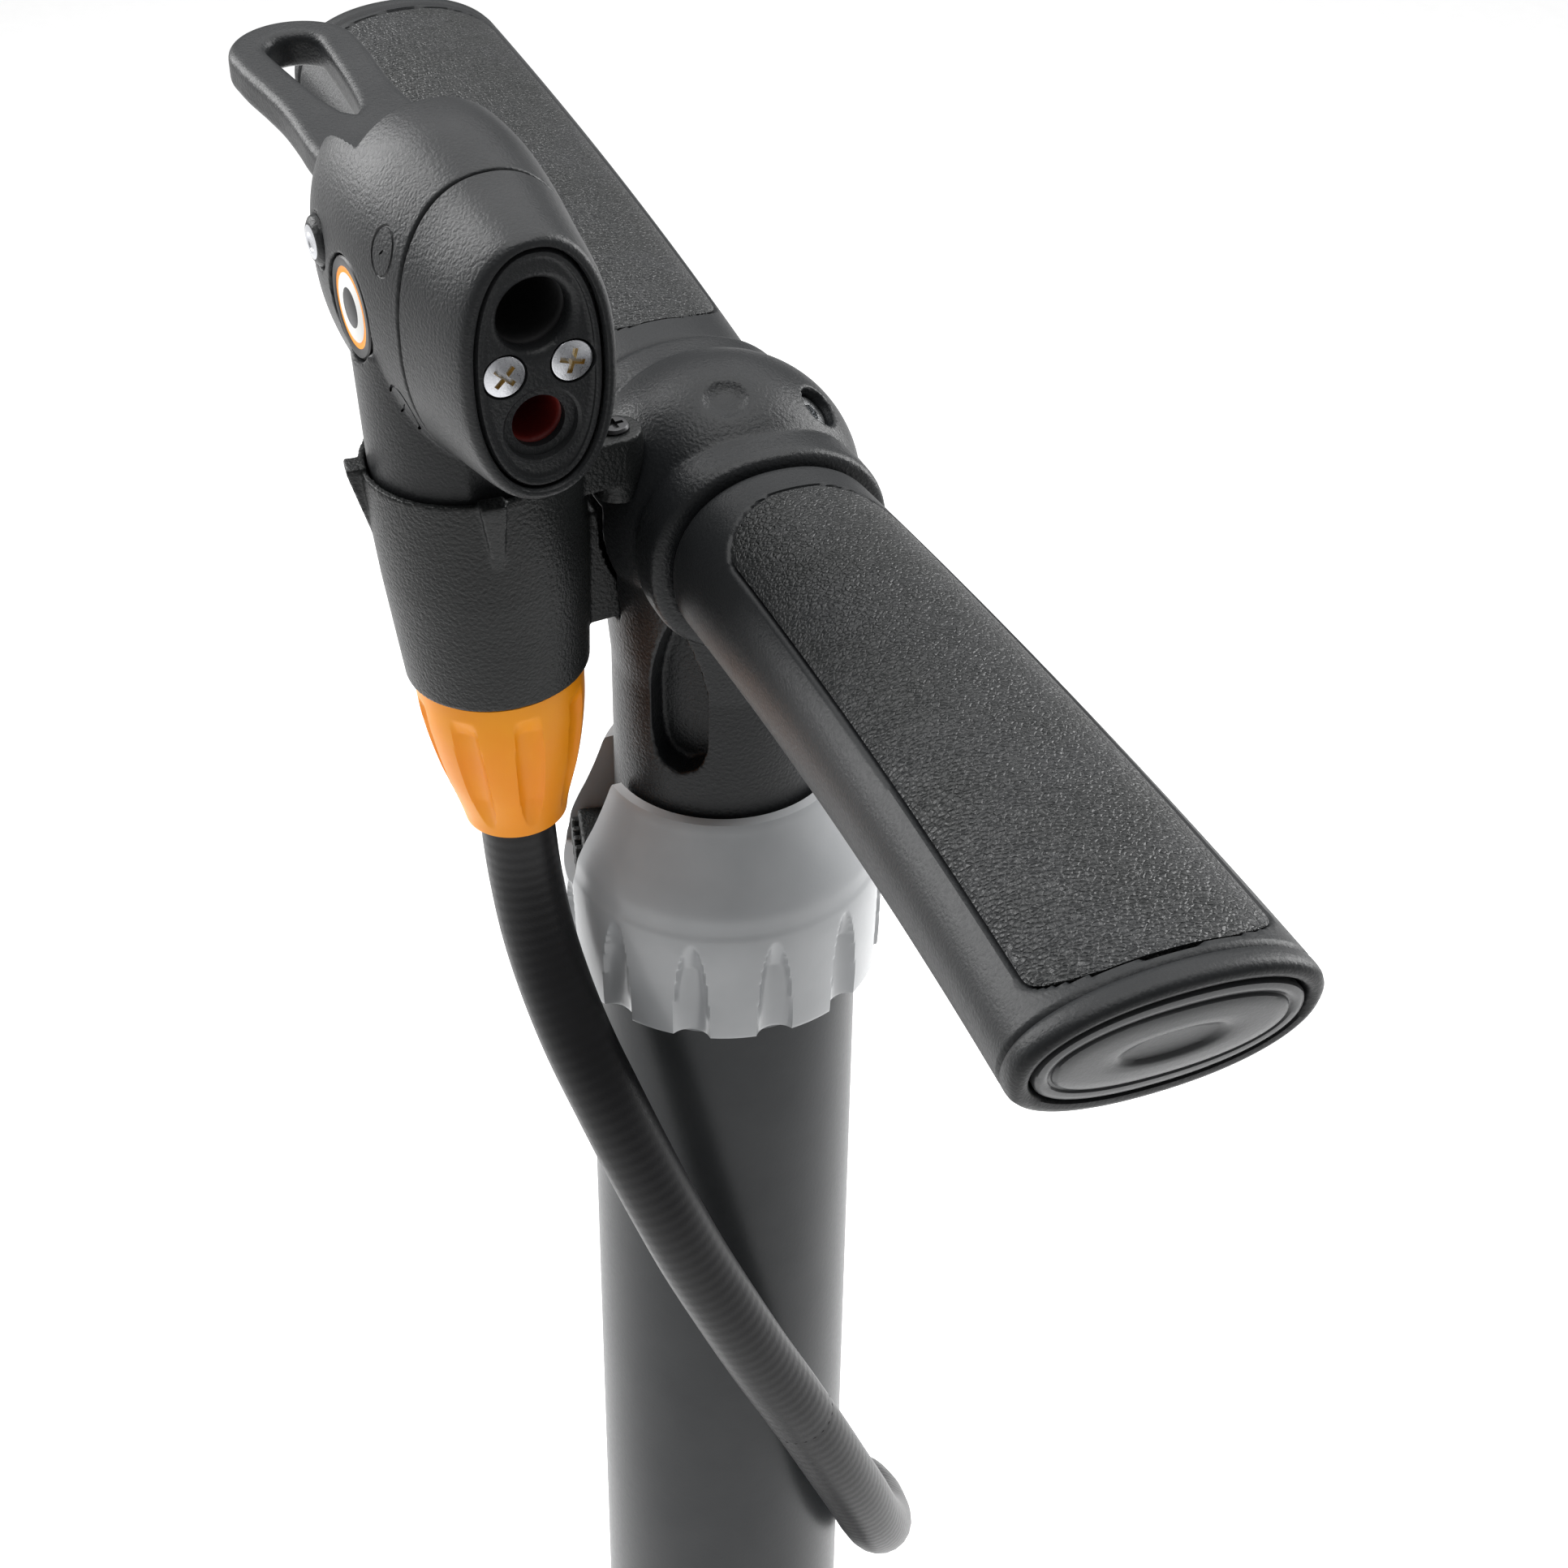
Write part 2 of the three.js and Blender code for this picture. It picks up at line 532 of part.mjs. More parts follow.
// ---- grips ----
const gripPoint = (side, inset, t, a, r) => {
  const middle = gripMiddle(t);
  const w = mix(GRIP_ROOT_W, GRIP_END_W, t) - inset;
  const h = mix(GRIP_ROOT_H, GRIP_END_H, t) - inset;
  const rise = power(Math.sin(a), 0.92) * h * r;
  return new THREE.Vector3(
    side * (middle.x + rise * Math.tan(GRIP_END_LEAN) * t ** 4),
    middle.y + side * power(Math.cos(a), 0.92) * w * r,
    middle.z + rise,
  );
};
const gripRun = (side, inset, from, to, rows) =>
  loft((t, a, r) => gripPoint(side, inset, mix(from, to, t), a, r), 20, rows);
const padPrism = (side, grow) => {
  const root = gripMiddle(0.05);
  const end = gripMiddle(0.93);
  const outline = [
    [root.x - grow, root.y, -GRIP_ROOT_W * 0.8 - grow],
    [end.x + grow, end.y, -GRIP_END_W * 0.74 - grow],
    [end.x + grow, end.y, GRIP_END_W * 0.74 + grow],
    [root.x - grow, root.y, GRIP_ROOT_W * 0.8 + grow],
  ].map(([x, y, w]) => new THREE.Vector2(side * x, y + side * w));
  return new THREE.ExtrudeGeometry(new THREE.Shape(outline), { depth: 30, bevelEnabled: false })
    .translate(0, 0, HANDLE_Z + GRIP_ROOT_H * 0.45);
};
const capFrom = 1 - CAP_DEPTH / (GRIP_END_X - GRIP_ROOT_X);
for (const [where, side] of [["near", 1], ["far", -1]]) {
  const whole = gripRun(side, 0, 0, 1, 6);
  const padSeat = cut(padPrism(side, GAP), gripRun(side, PAD_THICK + GAP, -0.1, 1.1, 7));
  const padBlank = overlap(whole, padPrism(side, 0));
  add(`grip_${where}`, cut(
    whole,
    padSeat,
    coreBar(side, GAP),
    gripRun(side, CAP_INSET, capFrom, 1.2, 3),
  ), DARK);
  add(`grip_pad_${where}`, cut(padBlank, gripRun(side, PAD_THICK, -0.1, 1.1, 7)), GRAIN);
  const capBack = capFrom + GAP / (GRIP_END_X - GRIP_ROOT_X);
  add(`end_cap_${where}`, gripRun(side, CAP_INSET + GAP, capBack, 1.005, 2), DARK);
}

// ---- rod and piston ----
add("piston_rod", rod(ROD_R, PISTON_Z - 5, rodTop), STEEL);
add("rod_nut", cut(rod(8.5, PISTON_Z - 4.6, PISTON_Z - GAP, 6), rod(ROD_R + GAP, 0, PISTON_Z)), STEEL);
const sealZ = PISTON_Z + (PISTON_H - SEAL_H) / 2;
const pistonR = BARREL_BORE_R - GAP;
const grooveR = pistonR - 3.2;
add("piston", turned([
  [ROD_R + GAP, PISTON_Z],
  [pistonR, PISTON_Z],
  [pistonR, sealZ - GAP],
  [grooveR, sealZ - GAP],
  [grooveR, sealZ + SEAL_H + GAP],
  [pistonR, sealZ + SEAL_H + GAP],
  [pistonR, PISTON_TOP_Z],
  [ROD_R + GAP, PISTON_TOP_Z],
  [ROD_R + GAP, PISTON_Z],
]), WHITE);
add("piston_seal", ring(pistonR, grooveR + GAP, sealZ, sealZ + SEAL_H), RUBBER);

// ---- holder cup ----
const cupWall = (outset, top) => [
  [CUP_BOTTOM_R - CUP_BOTTOM_WALL + outset, -CUP_H],
  [mix(CUP_BOTTOM_R, CUP_TOP_R, 0.6) - CUP_TOP_WALL + outset, -CUP_H * 0.5],
  [CUP_TOP_R - CUP_TOP_WALL + outset, top],
];
const cupBore = turned([
  [0, -CUP_H - 1],
  [CUP_BOTTOM_R - CUP_BOTTOM_WALL, -CUP_H - 1],
  ...cupWall(0, 0),
  [CUP_TOP_R - CUP_TOP_WALL, LUG_TOP + 2],
  [0, LUG_TOP + 2],
]);
const cupOuter = turned([
  [0, -CUP_H],
  [CUP_BOTTOM_R, -CUP_H],
  [mix(CUP_BOTTOM_R, CUP_TOP_R, 0.6), -CUP_H * 0.5],
  [CUP_TOP_R, 0],
  [0, 0],
]);
const gusset = (turn) => {
  const side = new THREE.Shape([
    new THREE.Vector2(CUP_TOP_R - 1, 0.6),
    new THREE.Vector2(CUP_TOP_R + 1.6, 0.6),
    new THREE.Vector2(CUP_TOP_R - 1.4, -GUSSET_H),
    new THREE.Vector2(CUP_TOP_R - 1.6, -GUSSET_H),
  ]);
  return new THREE.ExtrudeGeometry(side, { depth: GUSSET_W, bevelEnabled: false })
    .rotateX(Math.PI / 2)
    .translate(0, GUSSET_W / 2, 0)
    .rotateZ(turn);
};
const lug = join(
  box(LUG_X - 3.4, LUG_X + 3.4, CUP_TOP_R - 4, LUG_Y, -6, LUG_TOP),
  rod(3.4, LUG_TOP - 9, LUG_TOP).translate(LUG_X, LUG_Y, 0),
);
add("holder_cup", cut(
  join(cupOuter, gusset(GUSSET_TURN), gusset(GUSSET_TURN - Math.PI / 2), rail(0), lug),
  cupBore,
  toParked(ball(GAP)),
  lugScrewHole(GAP),
), BLACK, parked);
add("holder_screw", join(
  lugScrewHole(0),
  rod(2, LUG_TOP + 0.2, LUG_TOP + 1.1, 16).translate(LUG_X, LUG_Y, 0),
), STEEL, parked);

// ---- pump head ----
const headRows = [
  [-24, FACE_MID - 1, 6, 9],
  [-22, FACE_MID - 0.8, 9.6, 14],
  [-17, FACE_MID - 0.6, 12, 18],
  [-8, FACE_MID - 0.3, 13, 20],
  [0, FACE_MID, 13, 20.2],
  [PARTING_X, FACE_MID, 12.4, 19.4],
  [15, FACE_MID, 11.2, 18],
  [22.5, FACE_MID, 10, 17],
  [FACE_X, FACE_MID, FACE_W, FACE_H],
];
const neckR = (z) => track(cupWall(0, 0).map(([r, at]) => [at, r - GAP]), z);
const neck = toUpright(turned([
  [0, -CUP_H + GAP],
  ...[-CUP_H + GAP, -CUP_H * 0.5, 0].map((z) => [neckR(z), z]),
  [CUP_TOP_R - CUP_TOP_WALL - GAP, 18],
  [0, 24],
]));
const cavityHalf = 7.4;
const plungerRoom = [
  PIVOT_X + 2, GASKET_BACK_X - GAP, -cavityHalf, cavityHalf, SMALL_VALVE_Z - 5.4, LARGE_VALVE_Z + 5.4,
];
const leverSlot = box(-40, PIVOT_X + 9, -SLOT_HALF, SLOT_HALF, PIVOT_UP - 8, 80);
const pinAt = (geometry) => geometry.rotateX(Math.PI / 2).translate(PIVOT_X, 0, PIVOT_UP);
const rivetEnd = 13.4;
const badgeAt = (geometry) => geometry.rotateX(Math.PI / 2).translate(BADGE_X, 0, BADGE_UP);
const airWay = toUpright(rod(CHANNEL_R, -CUP_H - 1, SMALL_VALVE_Z, 12));
const behindParting = box(-40, PARTING_X - GAP / 2, -30, 30, -60, 70);
const aheadOfParting = box(PARTING_X + GAP / 2, 60, -30, 30, -60, 70);
const barbTop = -CUP_H + 7;
add("head_body", cut(
  overlap(join(ovalRun(headRows), neck), behindParting),
  box(...plungerRoom),
  leverSlot,
  pinAt(rod(PIN_R + GAP, -20, 20, 16)),
  pinAt(rod(RIVET_R + GAP, rivetEnd - 2, 20)),
  badgeAt(rod(BADGE_R + GAP, 11.4, 20)),
  airWay,
  toUpright(rod(BARB_R + GAP, -CUP_H - 1, barbTop + GAP, 16)),
), DARK, upright);
const chamber = (radius, z) => alongX(rod(radius + GAP, GASKET_BACK_X - GAP, GASKET_FRONT_X + GAP), z);
const plateRows = (grow) => [
  [GASKET_FRONT_X + GAP, FACE_MID, FACE_W - FACE_RIM + grow, FACE_H - FACE_RIM + grow],
  [FACE_X + 1, FACE_MID, FACE_W - FACE_RIM + grow, FACE_H - FACE_RIM + grow],
];
const screwYs = [-SCREW_APART / 2, SCREW_APART / 2];
const screwRun = (grow) =>
  screwYs.map((y) => alongX(rod(SCREW_R + grow, PLATE_X - 9 - grow, PLATE_X, 12), FACE_MID, y));
add("head_snout", cut(
  overlap(ovalRun(headRows), aheadOfParting),
  neck,
  chamber(LARGE_GASKET_R, LARGE_VALVE_Z),
  chamber(SMALL_GASKET_R, SMALL_VALVE_Z),
  ovalRun(plateRows(GAP)),
  box(0, GASKET_BACK_X, -cavityHalf, cavityHalf, SMALL_VALVE_Z - 5.4, LARGE_VALVE_Z + 5.4),
  ...screwRun(GAP),
), DARK, upright);
add("face_plate", cut(
  ovalRun(plateRows(0), { to: PLATE_X }),
  alongX(rod(LARGE_VALVE_R, 0, 40), LARGE_VALVE_Z),
  alongX(rod(SMALL_VALVE_R, 0, 40), SMALL_VALVE_Z),
  alongX(rod(LARGE_VALVE_R + 0.5, PLATE_X - 0.8, 40), LARGE_VALVE_Z),
  alongX(rod(SMALL_VALVE_R + 1.4, PLATE_X - 1.2, 40), SMALL_VALVE_Z),
  ...screwYs.map((y) => alongX(rod(SCREW_HEAD_R + GAP, PLATE_X - 1.6, 40), FACE_MID, y)),
  ...screwRun(GAP),
), DARK, upright);
screwYs.forEach((y, i) => {
  add(`face_screw_${i + 1}`, alongX(join(
    rod(SCREW_HEAD_R, PLATE_X - 1.3, PLATE_X),
    rod(SCREW_R, PLATE_X - 9, PLATE_X - 1, 12),
  ), FACE_MID, y), STEEL, upright);
});
const gasket = (outer, inner, z) => alongX(ring(outer, inner, GASKET_BACK_X, GASKET_FRONT_X), z);
add("large_gasket", gasket(LARGE_GASKET_R, LARGE_VALVE_R, LARGE_VALVE_Z), RUBBER, upright);
add("small_gasket", gasket(SMALL_GASKET_R, SMALL_VALVE_R, SMALL_VALVE_Z), RED, upright);
add("badge", badgeAt(rod(BADGE_R, 11.7, 12.7)), ORANGE, upright);
add("lever_pin", pinAt(join(
  rod(PIN_R, -12.4, rivetEnd - 1, 16),
  rod(RIVET_R, rivetEnd - 1.6, rivetEnd),
)), STEEL, upright);

const leverOutline = () => {
  const end = -LEVER_REACH + LEVER_END_R;
  const shape = new THREE.Shape();
  shape.moveTo(2, -SLOT_HALF + GAP);
  shape.lineTo(2, SLOT_HALF - GAP);
  shape.lineTo(-16, SLOT_HALF - GAP);
  shape.lineTo(end, LEVER_END_R);
  shape.absarc(end, 0, LEVER_END_R, Math.PI / 2, Math.PI * 1.5, false);
  shape.lineTo(-16, -SLOT_HALF + GAP);
  const hole = new THREE.Path();
  hole.moveTo(LEVER_EYE_FROM, 0);
  hole.quadraticCurveTo(LEVER_EYE_FROM - 6, LEVER_EYE_R, end, LEVER_EYE_R);
  hole.absarc(end, 0, LEVER_EYE_R, Math.PI / 2, Math.PI * 1.5, false);
  hole.quadraticCurveTo(LEVER_EYE_FROM - 6, -LEVER_EYE_R, LEVER_EYE_FROM, 0);
  shape.holes.push(hole);
  return shape;
};
const leverBlade = new THREE.ExtrudeGeometry(leverOutline(), {
  depth: LEVER_THICK,
  bevelEnabled: false,
  curveSegments: 7,
}).translate(0, 0, LEVER_ABOVE_PIVOT - LEVER_THICK / 2);
const cam = rod(CAM_R, -SLOT_HALF + GAP, SLOT_HALF - GAP).rotateX(Math.PI / 2);
add("clamp_lever", cut(
  join(leverBlade, cam),
  rod(PIN_R + GAP, -20, 20, 16).rotateX(Math.PI / 2),
).translate(PIVOT_X, 0, PIVOT_UP), DARK, upright);
const plungerBack = PIVOT_X + CAM_R + GAP;
const plungerFront = GASKET_BACK_X - GAP - PLUNGER_TRAVEL;
add("clamp_plunger", join(
  box(plungerFront - 4, plungerFront, -5.4, 5.4, SMALL_VALVE_Z - 4.6, LARGE_VALVE_Z + 4.6),
  box(plungerBack, plungerFront - 3, -4, 4, PIVOT_UP - 4, PIVOT_UP + 4),
), WHITE, upright);

// ---- hose end ----
const nutTop = -CUP_H - GAP;
const nutRows = [
  [0, NUT_TOP_R],
  [0.3, NUT_TOP_R - 0.5],
  [0.62, mix(NUT_TOP_R, NUT_BOTTOM_R, 0.42)],
  [1, NUT_BOTTOM_R],
];
const nutFlutes = [...Array(NUT_FLUTES).keys()].map((i) => {
  const turn = (i / NUT_FLUTES) * 2 * Math.PI;
  return rod(0.5, -NUT_H * 0.8, -NUT_H * 0.15, 4, 1.3)
    .rotateX(-0.1)
    .translate(0, NUT_TOP_R - 0.6, 0)
    .rotateZ(turn)
    .translate(0, 0, nutTop);
});
const nutStep = nutTop - NUT_H + 8;
add("hose_nut", cut(
  turned([
    [HOSE_R + GAP, nutTop - NUT_H],
    ...nutRows.map(([t, r]) => [r, nutTop - t * NUT_H]).reverse(),
    [BARB_R + GAP, nutTop],
    [BARB_R + GAP, nutStep],
    [HOSE_R + GAP, nutStep],
    [HOSE_R + GAP, nutTop - NUT_H],
  ]),
  ...nutFlutes,
), ORANGE, parked);
add("hose_barb", cut(
  rod(BARB_R, nutStep + 2, barbTop),
  rod(CHANNEL_R, nutStep - 8, barbTop + 1, 12),
), BRASS, parked);

// ---- hose, from the head's nut round the barrel to the port behind it ----
const HOSE_SPLIT = 12; // the point where the length that goes up with the handle ends
const hoseRoute = [
  [0, -29.8, 617.6], [1.1, -29.3, 607.6], [4, -28.7, 598.9], [8.2, -27.6, 591.2], [12.4, -26.1, 584.5],
  [16.4, -23.8, 577], [19.7, -21.2, 569], [22.5, -18.2, 560.4], [24.9, -14.7, 551], [26.8, -10.5, 541],
  [28, -5.7, 530], [28.4, -0.9, 519.6], [28.1, 3.8, 509], [27.2, 8.2, 498.6], [25.2, 12.6, 488],
  [22.2, 16.5, 478], [18.3, 20, 470], [13.4, 23.1, 463.8], [7.4, 25.4, 459.2], [0.8, 26.8, 455.2],
];
const WIND_FROM = 103 * DEG;
const WIND_TO = (3 * 360 + 42) * DEG;
const WIND_TOP_Z = 450.8;
const WIND_BOTTOM_Z = 110;
const WIND_STEPS = 48;
for (let i = 0; i <= WIND_STEPS; i++) {
  const t = i / WIND_STEPS;
  const angle = mix(WIND_FROM, WIND_TO, t);
  const r = 27.4 + 3.6 * Math.min(1, t * 4) + 6 * Math.max(0, t - 0.75) / 0.25;
  const z = mix(WIND_TOP_Z, WIND_BOTTOM_Z, t + 0.35 * t * (1 - t));
  hoseRoute.push([r * Math.cos(angle), r * Math.sin(angle), z]);
}
hoseRoute.push(
  [20.3, 33.6, 104.2], [13.6, 38.6, 96], [7.6, 41.6, 85.4], [3, PORT_Y - 0.1, 73], [0.8, PORT_Y, 60.6],
  [0, PORT_Y, 50], [0, PORT_Y, 40], [0, PORT_Y, hoseStartZ],
);
const hoseTube = (points) => {
  const curve = new THREE.CatmullRomCurve3(points.map((p) => new THREE.Vector3(...p)), false, "centripetal");
  const section = new THREE.Shape().absarc(0, 0, HOSE_R, 0, 2 * Math.PI);
  return new THREE.ExtrudeGeometry(section, {
    steps: Math.round(curve.getLength() / (HOSE_R * 4.4)),
    curveSegments: 5,
    extrudePath: curve,
  });
};
const beforeSplit = new THREE.Vector3(...hoseRoute[HOSE_SPLIT - 1]);
const afterSplit = new THREE.Vector3(...hoseRoute[HOSE_SPLIT]);
const splitMiddle = beforeSplit.clone().lerp(afterSplit, 0.5);
const halfGap = afterSplit.clone().sub(beforeSplit).setLength(GAP / 2);
const upperEnd = splitMiddle.clone().sub(halfGap).toArray();
const lowerStart = splitMiddle.clone().add(halfGap).toArray();
add("hose_upper", hoseTube([...hoseRoute.slice(0, HOSE_SPLIT), upperEnd]), RUBBER);
add("hose_lower", hoseTube([lowerStart, ...hoseRoute.slice(HOSE_SPLIT)]), RUBBER);

export default pump;
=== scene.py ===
"""Looks for the floor pump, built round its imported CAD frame.

Lengths are in millimetres until a piece is placed.
"""

import json
import math

import bmesh
import bpy
from mathutils import Matrix, Vector


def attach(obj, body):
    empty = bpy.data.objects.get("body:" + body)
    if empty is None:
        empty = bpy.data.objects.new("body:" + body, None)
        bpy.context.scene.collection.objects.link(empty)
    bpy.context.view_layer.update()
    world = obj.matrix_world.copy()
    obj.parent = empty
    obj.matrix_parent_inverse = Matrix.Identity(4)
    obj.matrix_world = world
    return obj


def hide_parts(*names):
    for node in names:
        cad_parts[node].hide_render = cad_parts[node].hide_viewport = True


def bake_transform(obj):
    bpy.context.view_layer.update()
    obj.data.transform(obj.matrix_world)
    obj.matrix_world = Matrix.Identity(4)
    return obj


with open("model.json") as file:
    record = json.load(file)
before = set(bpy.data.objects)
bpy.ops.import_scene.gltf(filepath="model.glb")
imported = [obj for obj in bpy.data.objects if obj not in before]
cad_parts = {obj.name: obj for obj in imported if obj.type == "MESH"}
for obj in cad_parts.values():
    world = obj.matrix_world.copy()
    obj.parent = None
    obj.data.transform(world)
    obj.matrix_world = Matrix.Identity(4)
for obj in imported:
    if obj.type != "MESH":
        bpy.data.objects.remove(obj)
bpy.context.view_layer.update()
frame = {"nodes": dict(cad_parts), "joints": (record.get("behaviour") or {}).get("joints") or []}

MILLIMETRE = Matrix.Scale(0.001, 4)
JOINTS = {joint["name"]: joint for joint in frame["joints"]}
UP = Vector((0, 0, 1))

# ---- sizes shared by several pieces ----
BARREL_R = 19
BARREL_BORE_R = 17.5
BARREL_FOOT_Z = 26
BARREL_TOP_Z = 596
COLLAR_Z = 585.7
COLLAR_H = 33
COLLAR_TOP_Z = COLLAR_Z + COLLAR_H
COLLAR_R = 22
INSERT_TOP_Z = 601
STEM_R = 14.8
STEM_BOTTOM_Z = 604.6
HANDLE_Z = 660.4
HUB_R = 17.8
SCREW_WAY = (0.33, 0.61, 0.72)
SLOT_TURN = math.radians(-15)
ROD_R = 5
HOSE_R = 5
FACE_MID = 23.2
PARTING_X = 12
LARGE_Z = FACE_MID + 6.6
SMALL_Z = FACE_MID - 7.2
LARGE_R = 4.35
SMALL_R = 3.25
CUP_H = 31.6
CUP_TOP_R = 14
CUP_BOTTOM_R = 11.9
PIVOT = (-13, 25)
PIN_BORE_R = 2.1
BADGE_AT = (-2, 21.3)
PORT_Y = 43
GAP = 0.3


# ---- frames ----
def frame_of(x, z, origin):
    y = z.cross(x)
    turn = Matrix((x, y, z)).transposed().to_4x4()
    return Matrix.Translation(origin) @ turn


def axis_of(name):
    return Vector(JOINTS[name]["axis"]).normalized()


def place_of(name):
    return Vector(JOINTS[name]["pos_m"]) * 1000


head_x = axis_of("plunger_slide")
head_y = axis_of("lever_hinge")
head_z = head_x.cross(head_y).normalized()
rim = place_of("lever_hinge") - PIVOT[0] * head_x - PIVOT[1] * head_z
HEAD = frame_of(head_x, head_z, rim)
PARKED = frame_of(Vector((1, 0, 0)), axis_of("head_lift"), rim)
GAUGE = frame_of(Vector((1, 0, 0)), axis_of("needle_turn"), place_of("needle_turn"))
WORLD = Matrix.Identity(4)


# ---- numbers ----
def mix(a, b, t):
    return a + (b - a) * t


def power(v, e):
    return math.copysign(abs(v) ** e, v)


def step(a, b, x):
    t = min(1, max(0, (x - a) / (b - a)))
    return t * t * (3 - 2 * t)


def track(rows, x, column):
    """A smooth value read from rows sorted by their first number."""
    x = min(rows[-1][0], max(rows[0][0], x))
    i = next(k for k in range(1, len(rows)) if x <= rows[k][0])
    a, b = rows[i - 1], rows[i]
    before, after = rows[max(0, i - 2)], rows[min(len(rows) - 1, i + 1)]
    span = b[0] - a[0]
    t = (x - a[0]) / span

    def slope(p, q):
        return (q[column] - p[column]) / (q[0] - p[0]) * span if q[0] > p[0] else 0

    u, v = slope(before, b), slope(a, after)
    h = t * t * t
    s = t * t
    start, end = a[column], b[column]
    return (2 * h - 3 * s + 1) * start + (h - 2 * s + t) * u + (3 * s - 2 * h) * end + (h - s) * v


def softened(outline, radius, closed=False, steps=5):
    """The outline with each corner turned into a short curve."""
    count = len(outline)
    result = []
    for i, corner in enumerate(outline):
        if not closed and i in (0, count - 1):
            result.append(tuple(corner))
            continue
        here = Vector(corner)
        back = Vector(outline[i - 1]) - here
        ahead = Vector(outline[(i + 1) % count]) - here
        a = here + back.normalized() * min(radius, back.length * 0.45)
        b = here + ahead.normalized() * min(radius, ahead.length * 0.45)
        for k in range(steps + 1):
            t = k / steps
            result.append(tuple(a.lerp(here, t).lerp(here.lerp(b, t), t)))
    return result


# ---- solids ----
def placed(mesh):
    obj = bpy.data.objects.new("raw", mesh)
    bpy.context.scene.collection.objects.link(obj)
    return obj


def cleaned(mesh, distance):
    """The mesh with its doubled points merged and its faces turned outward."""
    shape = bmesh.new()
    shape.from_mesh(mesh)
    bmesh.ops.remove_doubles(shape, verts=shape.verts, dist=distance)
    bmesh.ops.recalc_face_normals(shape, faces=shape.faces)
    shape.to_mesh(mesh)
    shape.free()
    return mesh


def meshed(curve):
    """The mesh of a curve or a text."""
    holder = placed(curve)
    graph = bpy.context.evaluated_depsgraph_get()
    mesh = bpy.data.meshes.new_from_object(holder.evaluated_get(graph))
    bpy.data.objects.remove(holder)
    return mesh


def solid(points, faces):
    mesh = bpy.data.meshes.new("raw")
    mesh.from_pydata([tuple(p) for p in points], [], faces)
    return placed(cleaned(mesh, 1e-4))


def skin(rings, looped=False, capped=True):
    """A closed skin over rings of points, all with the same count."""
    count = len(rings[0])
    points = [p for ring in rings for p in ring]
    faces = []
    for i in range(len(rings) if looped else len(rings) - 1):
        a = i * count
        b = (i + 1) % len(rings) * count
        faces += [(a + k, a + (k + 1) % count, b + (k + 1) % count, b + k) for k in range(count)]
    if capped and not looped:
        for start in (0, (len(rings) - 1) * count):
            middle = len(points)
            ring = points[start:start + count]
            points.append(tuple(sum(p[k] for p in ring) / count for k in range(3)))
            faces += [(start + k, start + (k + 1) % count, middle) for k in range(count)]
    return solid(points, faces)


def turned(profile, sides=96, looped=False, reach=None):
    """A solid of revolution about +Z from (radius, height) points.

    reach, where given, works out a radius from the profile's radius, the height and the angle.
    """
    rings = []
    for r, z in profile:
        ring = []
        for k in range(sides):
            a = 2 * math.pi * k / sides
            at = r if reach is None else reach(r, z, a)
            ring.append((at * math.cos(a), at * math.sin(a), z))
        rings.append(ring)
    return skin(rings, looped, capped=not looped)


def tube(outer, inner, z0, z1, soft=0.3, sides=96):
    outline = [(inner, z0), (outer, z0), (outer, z1), (inner, z1)]
    return turned(softened(outline, soft, closed=True, steps=3), sides, looped=True)


def dowel(radius, z0, z1, soft=0.3, sides=64):
    return turned(softened([(0, z0), (radius, z0), (radius, z1), (0, z1)], soft, steps=3), sides)


def ball(radius, z, steps, sides):
    arc = [math.pi * k / steps for k in range(steps + 1)]
    return turned([(radius * math.sin(a), z - radius * math.cos(a)) for a in arc], sides)


def hexagon(radius):
    return [(radius * math.cos(math.pi * k / 3), radius * math.sin(math.pi * k / 3)) for k in range(6)]


def slab(outlines, z0, z1, soft):
    """A plate with rounded edges; the outlines after the first are holes."""
    curve = bpy.data.curves.new("outline", "CURVE")
    curve.dimensions = "2D"
    curve.fill_mode = "BOTH"
    curve.extrude = (z1 - z0) / 2 - soft
    curve.bevel_depth = soft
    curve.bevel_resolution = 3
    curve.offset = -soft
    for outline in outlines:
        spline = curve.splines.new("POLY")
        spline.points.add(len(outline) - 1)
        spline.use_cyclic_u = True
        for point, (x, y) in zip(spline.points, outline):
            point.co = (x, y, 0, 1)
    return moved(placed(cleaned(meshed(curve), 1e-3)), Matrix.Translation((0, 0, (z0 + z1) / 2)))


def block(x0, x1, y0, y1, z0, z1, soft=0.3):
    soft = min(soft, (z1 - z0) * 0.4)
    corners = softened([(x0, y0), (x1, y0), (x1, y1), (x0, y1)], soft * 1.5, closed=True, steps=3)
    return slab([corners], z0, z1, soft)


def moved(obj, matrix):
    obj.data.transform(matrix)
    return obj


def settled(obj):
    graph = bpy.context.evaluated_depsgraph_get()
    mesh = bpy.data.meshes.new_from_object(obj.evaluated_get(graph))
    obj.modifiers.clear()
    obj.data = mesh
    return obj


def boolean(obj, operation, tools):
    for tool in tools:
        change = obj.modifiers.new("boolean", "BOOLEAN")
        change.operation = operation
        change.solver = "EXACT"
        change.object = tool
        settled(obj)
        bpy.data.objects.remove(tool)
    return obj


def carved(obj, *tools):
    return boolean(obj, "DIFFERENCE", tools)


def joined(obj, *others):
    return boolean(obj, "UNION", others)


def moulded(obj, voxel, passes):
    """The solid with its edges rounded off like a moulding's."""
    remesh = obj.modifiers.new("remesh", "REMESH")
    remesh.mode = "VOXEL"
    remesh.voxel_size = voxel
    smooth = obj.modifiers.new("smooth", "SMOOTH")
    smooth.factor = 0.5
    smooth.iterations = passes
    return settled(obj)


